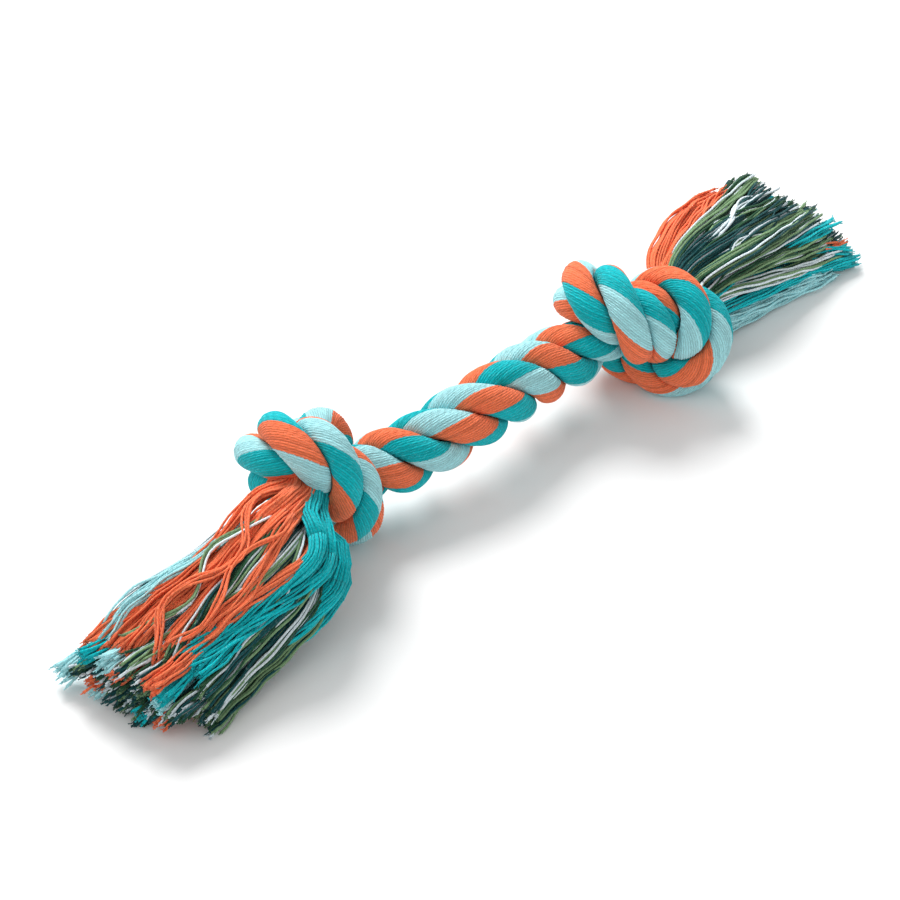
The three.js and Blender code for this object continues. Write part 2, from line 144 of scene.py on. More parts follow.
# Extra turns of each strand's yarns, at places along the rope in millimetres
TURN_TABLE = [
    [(0, 0.0), (185, 0.0), (204, -0.16), (218, -0.16), (245, 0.0), (445, 0.0)]
    + [(470, 0.45), (505, 0.22), (650, 0.22)],
    [(0, 0.41), (55, 0.41), (130, -0.18), (185, -0.28), (205, -0.28), (240, 0.0)]
    + [(400, 0.0), (440, 0.42), (650, 0.42)],
    [(0, 0.0), (160, -0.1), (200, -0.1), (240, 0.0), (470, 0.0), (520, 0.14), (650, 0.14)],
]

# Tassels. A tassel's middle runs reach millimetres out for side millimetres sideways.
# Along is measured from the throat's pivot, across from the tassel's middle and up from
# the floor, all in millimetres. The section gives the middle of the brush and half its
# width and height. A bunch is a count of yarns and the way that it takes. Filling is how
# many more bunches fill the section, and seed starts the random draws.
LEFT_BUNCHES = {
    "orange": [
        (32, (-17, 2, 46), (-5, 6, 51), (6, 4, 49), (18, 3, 45), (34, 0, 38), (52, -6, 31), (70, -9, 24)),
        (
            22, (-17, -3, 45), (-4, -5, 48), (8, -6, 45), (20, -6, 40),
            (36, -9, 34), (52, -14, 28), (71, -17, 21),
        ),
        (19, (-17, -8, 41), (2, -9, 42), (15, -4, 40), (34, -12, 33), (56, -20, 27), (72, -25, 21)),
        (16, (-17, 6, 46), (4, 10, 50), (19, 8, 44), (37, 5, 37), (53, 3, 30), (68, 1, 22)),
        (22, (-17, 8, 45), (4, 14, 49), (16, 16, 46), (33, 17, 38), (46, 14, 32), (58, 11, 24)),
        (19, (-12, 14, 36), (10, 25, 41), (23, 22, 38), (36, 18, 34), (45, 13, 29), (56, 8, 22)),
        (16, (-10, 8, 28), (36, 14, 16), (66, 5, 6)),
        (14, (-10, -4, 26), (38, -6, 8), (74, -9, 3)),
        (5, (-17, 0, 46), (6, -2, 52), (26, 8, 45), (50, -6, 37), (68, 2, 25)),
        (4, (-17, 4, 46), (8, 16, 50), (26, 8, 46), (48, 12, 36), (62, 4, 27)),
    ],
    "teal": [
        (35, (-17, 10, 44), (-6, 16, 47), (0, 24, 45), (8, 28, 42), (20, 24, 37), (34, 19, 32), (60, 11, 25)),
        (
            32, (-17, 12, 40), (-8, 21, 43), (2, 30, 38), (14, 29, 33),
            (27, 26, 31), (44, 21, 27), (62, 18, 23),
        ),
        (49, (-14, 8, 34), (-9, 27, 34), (1, 33, 27), (14, 32, 22), (30, 27, 17), (46, 20, 13), (58, 14, 9)),
        (27, (-14, 8, 28), (-10, 28, 24), (4, 32, 18), (18, 30, 13), (34, 26, 10), (48, 22, 8)),
        (14, (-10, 4, 32), (38, 4, 18), (74, 2, 9)),
        (14, (-10, 10, 30), (38, 13, 14), (70, 12, 6)),
    ],
    "pale": [
        (35, (-12, -5, 32), (8, -10, 32), (32, -15, 23), (58, -24, 13), (79, -32, 7)),
        (22, (-12, -2, 38), (10, -4, 42), (24, -8, 38), (42, -16, 33), (57, -21, 28), (66, -22, 23)),
        (19, (-10, -7, 28), (14, -12, 20), (40, -19, 8), (72, -23, 3)),
    ],
    "core": [
        (40, (-14, 6, 38), (6, 12, 46), (20, 12, 44), (32, 10, 39), (46, 8, 32), (64, 7, 23)),
        (30, (-14, 8, 37), (8, 18, 44), (24, 18, 40), (38, 13, 34), (50, 10, 28), (66, 9, 20)),
        (40, (-10, 12, 26), (8, 30, 20), (26, 30, 13), (44, 27, 8), (67, 25, 4)),
        (35, (-10, 14, 30), (10, 30, 27), (28, 30, 21), (46, 27, 16), (68, 26, 11)),
        (32, (-10, 12, 30), (12, 28, 32), (30, 27, 27), (48, 24, 22), (67, 23, 18)),
        (24, (-12, -4, 36), (12, -9, 38), (26, -12, 35), (42, -18, 30), (54, -22, 26), (64, -24, 21)),
        (4, (-14, 2, 40), (8, 6, 50), (28, -4, 44), (46, 2, 37), (66, -12, 26)),
        (4, (-14, 8, 38), (8, 22, 44), (30, 26, 29), (48, 18, 25), (66, 22, 8)),
    ],
}
LEFT_TASSEL = {
    "reach": 84.0,
    "side": -14.0,
    "filling": 26,
    "seed": 11,
    "section": [
        (-10, 3, 34, 8, 8), (6, 8, 30, 12, 12),
        (24, 8, 22, 16, 14), (44, 4, 17, 20, 13), (78, -3, 13, 26, 12),
    ],
    "bunches": LEFT_BUNCHES,
}
RIGHT_BUNCHES = {
    "orange": [
        (35, (-14, 9, 20), (2, 20, 22), (13, 26, 25), (30, 27, 28), (45, 25, 28), (58, 22, 26)),
        (22, (-14, 8, 22), (4, 20, 27), (20, 23, 31), (38, 24, 30), (54, 25, 26)),
        (27, (-14, 8, 24), (6, 17, 28), (22, 17, 32), (46, 18, 30), (63, 18, 26)),
        (19, (-12, 10, 16), (10, 25, 15), (30, 29, 14), (50, 30, 12)),
        (5, (-12, 0, 20), (8, -4, 20), (28, -12, 21), (50, -20, 17), (76, -32, 11)),
        (16, (-10, 2, 10), (40, 5, 6), (68, 8, 3)),
    ],
    "teal": [
        (35, (-14, -3, 18), (6, -5, 19), (27, -12, 18), (49, -19, 14), (74, -32, 8)),
        (30, (-14, -4, 15), (8, -8, 14), (28, -17, 12), (50, -24, 9), (75, -36, 4)),
        (22, (-12, 4, 22), (20, 8, 25), (44, 8, 27), (74, 4, 23)),
    ],
    "pale": [
        (35, (-14, -4, 10), (4, -8, 9), (20, -14, 7), (38, -20, 5), (58, -28, 4)),
        (22, (-12, -3, 7), (10, -10, 4), (38, -21, 3), (62, -32, 3)),
        (14, (-10, 6, 12), (30, 12, 8), (66, 20, 4)),
    ],
    "core": [
        (35, (-14, 6, 24), (6, 14, 29), (22, 13, 34), (44, 11, 32), (74, 11, 29)),
        (30, (-14, 8, 21), (6, 18, 23), (24, 17, 27), (46, 16, 26), (75, 18, 23)),
        (35, (-14, 3, 24), (2, 7, 29), (17, 2, 34), (38, -2, 32), (67, -5, 26)),
        (30, (-14, 4, 26), (4, 10, 30), (20, 7, 34), (41, 4, 33), (71, 4, 28)),
        (35, (-14, 0, 24), (0, 1, 29), (16, -8, 33), (38, -14, 30), (72, -18, 21)),
        (24, (-14, 2, 22), (2, 4, 28), (20, -4, 33), (42, -9, 31), (70, -12, 24)),
        (32, (-14, -2, 22), (2, -2, 25), (26, -13, 26), (50, -21, 19), (69, -26, 13)),
        (24, (-14, -2, 18), (4, -5, 21), (28, -18, 19), (50, -25, 13), (73, -31, 8)),
        (5, (-14, 2, 24), (8, 9, 31), (30, 3, 36), (52, 6, 33), (72, 1, 28)),
        (5, (-14, 4, 24), (8, 4, 31), (28, 9, 35), (50, 1, 33), (74, -3, 25)),
        (5, (-14, 0, 24), (10, -6, 31), (26, -4, 35), (44, -10, 31), (60, -9, 28), (74, -14, 21)),
        (4, (-14, 6, 22), (12, 14, 31), (28, 17, 32), (44, 11, 33), (60, 14, 30), (72, 12, 27)),
    ],
}
RIGHT_TASSEL = {
    "reach": 86.0,
    "side": 26.0,
    "filling": 28,
    "seed": 23,
    "section": [
        (-10, 2, 18, 8, 8), (6, 4, 17, 12, 11),
        (22, 4, 17, 17, 12), (44, 0, 15, 23, 12), (76, -4, 12, 29, 10),
    ],
    "bunches": RIGHT_BUNCHES,
}
GOLDEN_TURN = 2.39996  # radians between neighbours on a sunflower disc
ANY_TURN = 6.28  # radians, for a random start
FILLING_YARNS = 22  # in each bunch that fills the brush
PATH_STEP = 0.5  # between the points of a bunch's curve
ROOT_RINGS = 7  # rings of a yarn before the throat's pivot
ROOT_DEPTH = 27.0  # how far before that pivot the yarns leave the rope
ROOT_RADIUS = 10.5  # and how far from the rope's line
ROOT_BEND = (-13.0, -3.0)  # where the roots bend, along the tassel from the pivot
BRUSH_BEND = (3.0, 16.0)  # and where the brush does
CRIMP = 17.0  # length of one wave that the lay left in a yarn
CRIMP_DEPTH = (0.15, 0.55)  # least and most, in millimetres
CRIMP_GROWTH = (0.4, 0.6)  # share of it at the root, and what is added by the tip
OUT_OF_STEP = 1.1  # radians by which the waves of a bunch's yarns differ
TWIST = (0.8, 3.2)  # least and most turn of a bunch from root to tip, in radians
TIP_SPREAD = 0.3  # share by which a bunch is wider at its tip
FLATNESS = 0.85  # height of a bunch over its width
WANDER = (0.55, 0.45)  # of a yarn, across and up, in millimetres
WANDER_GROWTH = (0.2, 1.0)  # share of it at the root, and what is added by the tip
WANDER_STEP = 5  # rings
SLACK = 1.8  # by which the cut ends differ in length
TONE_SCATTER = 0.3
TONE_TOP = 0.998
YARN_SPACING = 1.06  # of a bunch's yarns, in radii of a yarn
DISC_START = 0.4  # number of the first yarn on a bunch's sunflower disc
YARN_SIDES = 5
CUT_FLARE = 1.25  # width of a tube's last ring, in widths of the tube
CUT_DOME = 0.3  # how far its end stands out past that ring, in radii of a yarn
NEAR_UP = np.array([0.05, 0.03, 1.0])  # tilted, so that an upright yarn has axes too
FRAYS = 4  # fibres at one cut end
FRAY_SIDES = 3
FRAY_RADIUS = 0.2
FRAY_LENGTH = (0.5, 1.5)
FRAY_SPREAD = 0.4
FRAY_CURL = 0.4  # share of the spread that grows with the square of the length
FRAY_FOOT = 0.5  # and share by which a fibre starts beside the yarn's middle
FRAY_RINGS = np.array([-0.3, 0.5, 1.0])[:, None]  # along a fibre, from the cut


# Points and lines


def length_of(vectors):
    """Length of each vector in an array, kept as a last axis of one."""
    return np.linalg.norm(vectors, axis=-1, keepdims=True)


def smooth(value):
    """3 v squared minus 2 v cubed, for v held between 0 and 1."""
    v = np.clip(value, 0.0, 1.0)
    return v * v * (3.0 - 2.0 * v)


def run_along(points):
    """Distance from the first point to each, along straight lines between them."""
    return np.concatenate([[0.0], np.cumsum(length_of(np.diff(points, axis=0))[:, 0])])


def sampled(at, along, points):
    """Values at new distances along the points, straight from one to the next."""
    return np.stack([np.interp(at, along, points[:, k]) for k in range(points.shape[1])], 1)


def spaced(points, spacing):
    """Points at an even spacing along straight lines through the points given."""
    along = run_along(points)
    count = int(math.floor(along[-1] / spacing + 0.5))
    return sampled(along[-1] * np.arange(count + 1) / count, along, points)


def softened(points, share):
    """Each inner point goes a share of the way to the middle of its neighbours."""
    result = points.copy()
    result[1:-1] += share * (0.5 * (points[:-2] + points[2:]) - points[1:-1])
    return result


def directions(points):
    """Unit vector along a line at each point, from its two neighbours."""
    ahead = np.concatenate([points[1:], points[-1:]])
    behind = np.concatenate([points[:1], points[:-1]])
    return (ahead - behind) / length_of(ahead - behind)


def frames(points):
    """Axes u and v across a line that turn as little as they can: u at each point
    is the last u less its part along the line, made a unit vector, and v is the
    line's direction crossed with u."""
    along = directions(points)
    u = np.zeros_like(points)
    last = np.array([0.0, 0.0, 1.0])
    for i, t in enumerate(along):
        last = last - t * (last @ t)
        last = last / np.linalg.norm(last)
        u[i] = last
    return along, u, np.cross(along, u)


def curve_through(points, spacing):
    """Catmull-Rom curve through the points, sampled evenly. Each span is the cubic
    whose slope at a point is half the step between that point's neighbours. The
    last column of the points rides along, so it can hold a measure of place."""
    padded = np.concatenate([2 * points[:1] - points[1:2], points, 2 * points[-1:] - points[-2:-1]])
    a, b, c, d = (padded[k : len(padded) - 3 + k, None] for k in range(4))
    t = np.linspace(0.0, 1.0, 16, endpoint=False)[None, :, None]
    spans = 0.5 * (2 * b + (c - a) * t + (2 * a - 5 * b + 4 * c - d) * t**2 + (3 * b - a - 3 * c + d) * t**3)
    fine = np.concatenate([spans.reshape(-1, points.shape[1]), points[-1:]])
    along = run_along(fine[:, :3])
    at = np.linspace(0.0, along[-1], int(round(along[-1] / spacing)) + 1)
    return sampled(at, along, fine)


# The knots


def loose_loop():
    """The open part of a trefoil, x = sin t + 2 sin 2t, y = cos t - 2 cos 2t plus
    a lift and z = -sin 3t times its depth, with a straight lead to either side."""
    size = KNOT_PITCH * LOOP_SHARE
    lead = KNOT_PITCH * LEAD_SHARE + 4 * size
    t = np.linspace(3 * math.pi - LOOP_OPENING, math.pi + LOOP_OPENING, LOOP_POINTS)
    x = np.sin(t) + 2 * np.sin(2 * t)
    y = np.cos(t) - 2 * np.cos(2 * t) + LOOP_LIFT
    loop = np.stack([x, y, -np.sin(3 * t) * DEEP_SHARE], 1)
    return np.concatenate([[[-lead, 0, 0]], loop * size, [[lead, 0, 0]]])


def pushed_apart(points, first, second, want, strength):
    """Each pair nearer than it wants to be moves apart by half of what is missing;
    a point with several pushes takes their mean, times the strength."""
    gap = points[second] - points[first]
    distance = length_of(gap)[:, 0]
    near = distance < want
    first, second, gap, distance = first[near], second[near], gap[near], distance[near]
    push = gap * (0.5 * (want[near] - distance) / distance)[:, None]
    total = np.zeros_like(points)
    touches = np.zeros(len(points))
    for index, sign in ((first, -1.0), (second, 1.0)):
        for axis in range(3):
            total[:, axis] += sign * np.bincount(index, push[:, axis], len(points))
        touches += np.bincount(index, minlength=len(points))
    return points + strength * total / np.maximum(touches, 1)[:, None]


def pulled_tight(points):
    """Both ends of the loop are pulled outwards while every segment keeps its
    length and no two turns come nearer than the knot's pitch."""
    first, second = np.triu_indices(len(points), math.ceil(SAME_TURN * KNOT_PITCH / ROPE_STEP))
    want = np.full(len(first), KNOT_PITCH)
    before = points.copy()
    for step in range(PULL_STEPS):
        drift = PULL_DRIFT * (points - before)
        before = points.copy()
        points = points + drift
        pull = KNOT_PITCH * PULL_SHARE * min(1.0, 2 * (1 - step / PULL_STEPS))
        points[0, 0] -= pull
        points[-1, 0] += pull
        points = softened(points, PULL_SOFTENING)
        for _ in range(2):
            for start in (0, 1):
                a = np.arange(start, len(points) - 1, 2)
                gap = points[a + 1] - points[a]
                gap *= 0.5 * (length_of(gap) - ROPE_STEP) / length_of(gap)
                points[a] += gap
                points[a + 1] -= gap
            points = pushed_apart(points, first, second, want, PULL_PUSH)
        points[:, 1:] -= 0.5 * (points[0, 1:] + points[-1, 1:])
    points[:, 0] -= 0.5 * (points[:, 0].min() + points[:, 0].max())
    return points


def rope_line(knot):
    """Centre line of the rope: throat, left knot, bar, right knot, throat. Each
    knot is mirrored by its hand and turned about the rope by its roll, and the bar
    rises by BAR_ARCH towards its middle."""
    half = KNOT_SPAN / 2

    def placed(side, hand, roll):
        """The knot in its place: y and z turned by the roll, z mirrored by the hand."""
        kept = knot[np.abs(knot[:, 0]) < LEAD] * [1, 1, hand]
        c, s = math.cos(math.radians(roll)), math.sin(math.radians(roll))
        x, y, z = kept.T
        return np.stack([x + side * half, c * y - s * z, s * y + c * z], 1)

    end = half + THROAT_END
    line = np.concatenate(
        [[[-end, 0, 0]], placed(-1, *LEFT_KNOT), [[0, 0, 0]], placed(1, *RIGHT_KNOT), [[end, 0, 0]]]
    )
    for _ in range(2):
        line = spaced(line, ROPE_STEP / 2)
        for _ in range(LINE_ROUNDS):
            line = softened(line, LINE_SOFTENING)
    line = spaced(line, STRAND_STEP)
    line[:, 2] += BAR_ARCH * (1 - smooth(np.abs(line[:, 0]) / (half - KNOT_RADIUS)))
    return line


def settled_strands(line):
    """Three strands wound round the line at a third of a turn from each other.
    They push each other apart until they lie side by side; in the knots each
    also relaxes towards its own middle line and the knot's middle."""
    half = KNOT_SPAN / 2
    away = np.minimum(length_of(line + [half, 0, 0]), length_of(line - [half, 0, 0]))[:, 0]
    tight = smooth((KNOT_RADIUS + FADE_SHIFT * KNOT_FADE - away) / KNOT_FADE)
    _, u, v = frames(line)
    offset = (ROPE - STRAND_PITCH) / 2 + tight * (KNOT_STRAND_OFFSET - (ROPE - STRAND_PITCH) / 2)
    count = len(line)
    strands = []
    for strand in range(3):
        turn = 2 * math.pi * (np.arange(count) * STRAND_STEP / LAY + strand / 3)
        out = u * np.cos(turn)[:, None] + v * np.sin(turn)[:, None]
        strands.append(line + out * offset[:, None])
    points = np.concatenate(strands)
    home = points.copy()
    number = np.tile(np.arange(count), 3)
    which = np.repeat(np.arange(3), count)
    pitch = np.tile(STRAND_PITCH + tight * (KNOT_STRAND_PITCH - STRAND_PITCH), 3)
    held = 1 - np.tile(tight, 3)[:, None]
    middle = np.stack([np.sign(points[:, 0]) * half, 0 * pitch, 0 * pitch], 1)
    first, second = np.triu_indices(3 * count, 1)
    free = (which[first] != which[second]) | (np.abs(number[first] - number[second]) >= STRAND_SKIP)
    first, second = first[free], second[free]
    for step in range(SETTLE_STEPS):
        near = np.abs(points[first, 0] - points[second, 0]) <= STRAND_PITCH
        a, b = first[near], second[near]
        points = pushed_apart(points, a, b, (pitch[a] + pitch[b]) / 2, 1.0)
        rows = points.reshape(3, count, 3)
        relaxed = 0.5 * (rows[:, :-2] + rows[:, 2:]) - rows[:, 1:-1]
        rows[:, 1:-1] += SETTLE_SOFTENING * tight[None, 1:-1, None] * relaxed
        points = rows.reshape(-1, 3)
        points = points + SETTLE_HOLD * held * (home - points)
        squeeze = SETTLE_SQUEEZE if step < SQUEEZED_SHARE * SETTLE_STEPS else 0.0
        inside = length_of(points - middle) < KNOT_RADIUS + KNOT_FADE
        points = points + squeeze * (1 - held) * inside * (middle - points)
    return points.reshape(3, count, 3)


def raised(points, strands):
    """Lifts each point so that the lowest skin of the nearer knot is FLAT below
    the floor, with a smooth change along the bar."""
    half = KNOT_SPAN / 2
    flat = strands.reshape(-1, 3)
    lift = [
        STRAND / 2 - FLAT - flat[np.abs(flat[:, 0] - side * half) < KNOT_RADIUS, 2].min() for side in (-1, 1)
    ]
    share = smooth((points[..., 0] + half - KNOT_RADIUS) / (KNOT_SPAN - 2 * KNOT_RADIUS))
    result = points.copy()
    result[..., 2] += lift[0] + share * (lift[1] - lift[0])
    return result


class Route:
    """The settled rope in the row frame, in millimetres: its centre line, its
    three strands, and the place of each pivot as a distance along the line."""

    def __init__(self):
        line = rope_line(pulled_tight(spaced(loose_loop(), ROPE_STEP)))
        strands = settled_strands(line)
        self.line = raised(line, strands)
        self.strands = raised(strands, strands)
        self.places = {name: self.along(x) for name, x in self.marks().items()}
        first = self.at(self.places["left_bend"])
        shift = JOINTS["left_bend"] / MM - first
        if abs(shift[2]) > ROUTE_TOLERANCE:
            raise RuntimeError(f"the rope's route is {shift[2]:.2f} mm above or below the frame's")
        self.line = self.line + [shift[0], shift[1], 0.0]
        self.strands = self.strands + [shift[0], shift[1], 0.0]

    @staticmethod
    def marks():
        """Each pivot's x, measured from the middle of the bar."""
        shift = JOINTS["left_bend"][0] / MM + BAR_PIVOT
        names = ("left_throat", "left_neck", "left_bend", "right_bend", "right_neck", "right_throat")
        return {name: JOINTS[name][0] / MM - shift for name in names}

    def along(self, x):
        """Distance along the line of the first place past the bar's middle, or
        past an end of the rope, where it reaches x."""
        points = self.line
        side = 1 if x > 0 else -1
        if abs(x) > KNOT_SPAN / 2:
            order = np.arange(len(points))[:: -side]
            reached = side * points[order, 0] <= side * x
        else:
            order = np.arange(len(points) // 2, len(points) if side > 0 else -1, side)
            reached = side * points[order, 0] >= side * x
        k = int(np.argmax(reached))
        a, b = order[k - 1], order[k]
        share = (x - points[a, 0]) / (points[b, 0] - points[a, 0])
        return STRAND_STEP * (a + share * (b - a))

    def at(self, place):
        """Point of the line at a distance along it, straight between its points."""
        index = np.arange(len(self.line)) * STRAND_STEP
        return np.array([np.interp(place, index, self.line[:, k]) for k in range(3)])


# The strands' skins


def smooth_noise(rng, rows, columns, step):
    """Random values with a mean of nought for each row, eased from one to the next
    every so many columns by the smooth step."""
    knots = rng.standard_normal((rows, int(columns / step) + 3))
    at = np.arange(columns) / step
    low = at.astype(int)
    share = smooth(at - low)
    return knots[:, low] * (1 - share) + knots[:, low + 1] * share


class Cover:
    """Skin of the three strands. A ring stands at every millimetre of a strand, and
    its columns follow the yarns, which wind round the strand as they go along. A
    column reaches out to the strand's own radius, or less where the plane half way
    to a neighbour is nearer."""

    def __init__(self, route, sizes):
        self.sizes, self.route = sizes, route
        self.columns = sizes.yarns * YARN_COLUMNS
        place = np.arange(len(route.line)) * STRAND_STEP
        self.fine = [curve_through(np.column_stack([points, place]), RING_STEP) for points in route.strands]
        self.every = np.concatenate(
            [
                np.column_stack([fine[:, :3], np.full(len(fine), which), np.arange(len(fine)) * RING_STEP])
                for which, fine in enumerate(self.fine)
            ]
        )
        rng = np.random.default_rng(COVER_SEED)
        self.rings = [self.skin(which, rng) for which in range(3)]

    def turn(self, which, s, place):
        """Angle of the first yarn against the least-turning frame: it grows evenly
        along the strand, with a slower or faster stretch where the rope is knotted."""
        rate = self.sizes.yarn_turn * MM
        start = 2 * math.pi * self.sizes.start[which]
        marks, extra = np.array(TURN_TABLE[which]).T
        return start + rate * s + 2 * math.pi * np.interp(place, marks, extra)

    def skin(self, which, rng):
        """Rings of one strand. A plane half way to a point at distance d, which faces
        the ring's point by the cosine f, limits its reach to d / 2f. Reach r and the
        least limit l join as the tenth root of 1 / (r to the -10 + l to the -10).
        Slow noise swells the strand, and each yarn's ridge is minus cos squared of
        its column."""
        sizes = self.sizes
        radius = sizes.strand_radius / MM
        centres, place = self.fine[which][:, :3], self.fine[which][:, 3]
        s = np.arange(len(centres)) * RING_STEP
        _, u, v = frames(centres)
        angle = 2 * math.pi * np.arange(self.columns) / self.columns
        angle = angle[None] + self.turn(which, s, place)[:, None]
        out = np.cos(angle)[..., None] * u[:, None] + np.sin(angle)[..., None] * v[:, None]
        reach = np.full(angle.shape, radius)
        for i, centre in enumerate(centres):
            gap = self.every[:, :3] - centre
            distance = np.sqrt((gap * gap).sum(1))
            apart = np.abs(self.every[:, 4] - s[i])
            own = (self.every[:, 3] == which) & (apart < STRAND)
            use = (distance < PRESS_REACH * radius) & ~(own & (apart < OWN_STRETCH))
            gap, distance, own = gap[use], distance[use], own[use]
            facing = out[i] @ (gap / distance[:, None]).T
            half = np.where(own, OWN_SHARE * distance, (distance - sizes.crease / MM) / 2)
            limit = half / np.maximum(facing, LEAST_FACING)
            limit = np.where(facing > LEAST_FACING, limit, NO_LIMIT).min(1)
            reach[i] = (reach[i] ** -ROUNDING + limit**-ROUNDING) ** (-1 / ROUNDING)
        swell = smooth_noise(rng, 1, len(centres), SWELL_STEP)[0] * SWELL
        yarn, column = np.divmod(np.arange(self.columns), YARN_COLUMNS)
        lift = smooth_noise(rng, sizes.yarns, len(centres), LIFT_STEP).T * 0.5
        lift = lift + rng.standard_normal(sizes.yarns) * 0.5
        ridge = -np.cos(math.pi * column / YARN_COLUMNS) ** 2
        reach = reach + swell[:, None] + (ridge + LIFT * lift[:, yarn]) * sizes.yarn_depth / MM
        return centres[:, None] + out * np.maximum(reach, LEAST_REACH)[..., None]

    def piece(self, name, which, low, high, taper=None):
        """The stretch of one strand between two places along the rope, as a mesh.
        Its map counts yarns across and millimetres along. With a taper, the skin
        shrinks towards the rope's own line between the taper's two places."""
        place = self.fine[which][:, 3]
        first = int(np.searchsorted(place, low))
        last = int(np.searchsorted(place, high))
        rings = self.rings[which][first : last + 1].copy()
        if taper:
            wide, narrow = taper
            place = place[first : last + 1]
            share = smooth((place - wide) / (narrow - wide))
            middle = np.stack([self.route.at(at) for at in place])
            rings += (TAPER_SHARE * share)[:, None, None] * (middle[:, None] - rings)
        rings[..., 2] = np.maximum(rings[..., 2], 0.0)
        count, columns = rings.shape[:2]
        quads = grid_faces(count, columns)
        down, across = np.divmod(np.arange(len(quads))[:, None], columns)
        across, down = across + [0, 1, 1, 0], down + [0, 0, 1, 1]
        uv = np.stack([across / YARN_COLUMNS, (down + first) * RING_STEP], -1)
        vertices = rings.reshape(-1, 3)
        caps, cap_uv = [], []
        for ring, flip in ((0, True), (count - 1, False)):
            k = np.arange(columns)
            a, b = len(vertices) + k, len(vertices) + (k + 1) % columns
            centre = np.full(columns, len(vertices) + columns)
            vertices = np.concatenate([vertices, rings[ring], rings[ring].mean(0)[None]])
            caps.append(np.stack([centre, b, a] if flip else [centre, a, b], 1))
            cap_uv.append(np.zeros((columns, 3, 2)))
        return mesh_object(name, vertices * MM, [quads, *caps], [uv, *cap_uv], smooth_faces=len(quads))


def grid_faces(count, columns):
    """Quads between neighbouring rings of a closed tube, facing outwards."""
    k = np.arange(count * columns - columns)
    ring, column = np.divmod(k, columns)
    right = ring * columns + (column + 1) % columns
    return np.stack([k, right, right + columns, k + columns], 1)


def mesh_object(name, vertices, faces, uvs=None, smooth_faces=None, tone=None):
    """A mesh from arrays: vertices, and face arrays of three or four corners each
    with their map coordinates in the same shape."""
    mesh = bpy.data.meshes.new(name)
    loops = np.concatenate([part.ravel() for part in faces])
    sizes = np.concatenate([np.full(len(part), part.shape[1]) for part in faces])
    starts = np.concatenate([[0], np.cumsum(sizes)[:-1]])
    mesh.vertices.add(len(vertices))
    mesh.loops.add(len(loops))
    mesh.polygons.add(len(sizes))
    mesh.vertices.foreach_set("co", vertices.astype(np.float32).ravel())
    mesh.loops.foreach_set("vertex_index", loops.astype(np.int32))
    mesh.polygons.foreach_set("loop_start", starts.astype(np.int32))
    mesh.update(calc_edges=True)
    flags = np.ones(len(sizes), bool)
    if smooth_faces is not None:
        flags[smooth_faces:] = False
    mesh.polygons.foreach_set("use_smooth", flags)
    if uvs is not None:
        layer = mesh.uv_layers.new(name="yarn_map")
        flat = np.concatenate([part.reshape(-1, 2) for part in uvs]).astype(np.float32)
        layer.data.foreach_set("uv", flat.ravel())
    if tone is not None:
        mesh.attributes.new("tone", "FLOAT", "POINT").data.foreach_set("value", tone.astype(np.float32))
    mesh.validate()
    made = bpy.data.objects.new(name, mesh)
    bpy.context.scene.collection.objects.link(made)
    return made


# The tassels


def tassel_frame(side, size):
    """Direction of the tassel's middle and the one across it."""
    yaw = math.atan2(size["side"], size["reach"])
    along = np.array([side * math.cos(yaw), math.sin(yaw), 0.0])
    across = np.array([-math.sin(yaw), side * math.cos(yaw), 0.0])
    return along, across


def bunch_rows(size, root):
    """The bunches of the table, and those that fill the brush. These lie on a
    sunflower disc: bunch i of n is the root of i / n of the way out from the middle
    of the section. The inner ones and every other one of the rest are core yarn.
    Each bunch starts in the knot, on the side of the rope on which it comes out."""
    rows = {kind: list(given) for kind, given in size["bunches"].items()}
    section = np.array(size["section"], float)
    for i in range(size["filling"]):
        out = math.sqrt((i + 0.5) / size["filling"])
        turn = i * GOLDEN_TURN
        path = section[:, :3].copy()
        path[:, 1] += out * math.cos(turn) * section[:, 3]
        path[:, 2] += out * math.sin(turn) * section[:, 4]
        cover = COVERS[i % 3]
        rows["core" if i % 2 or out < 0.5 else cover].append((FILLING_YARNS, *path))
    middle = section[0, :3]
    result = {}
    for kind, given in rows.items():
        result[kind] = []
        for count, *points in given:
            points = np.array(points, float)
            out = (points[0] - middle) * [0, 1, 1]
            start = root + out * (ROOT_RADIUS / max(np.linalg.norm(out), ROOT_RADIUS))
            result[kind].append((count, np.concatenate([start[None], points])))
    return result


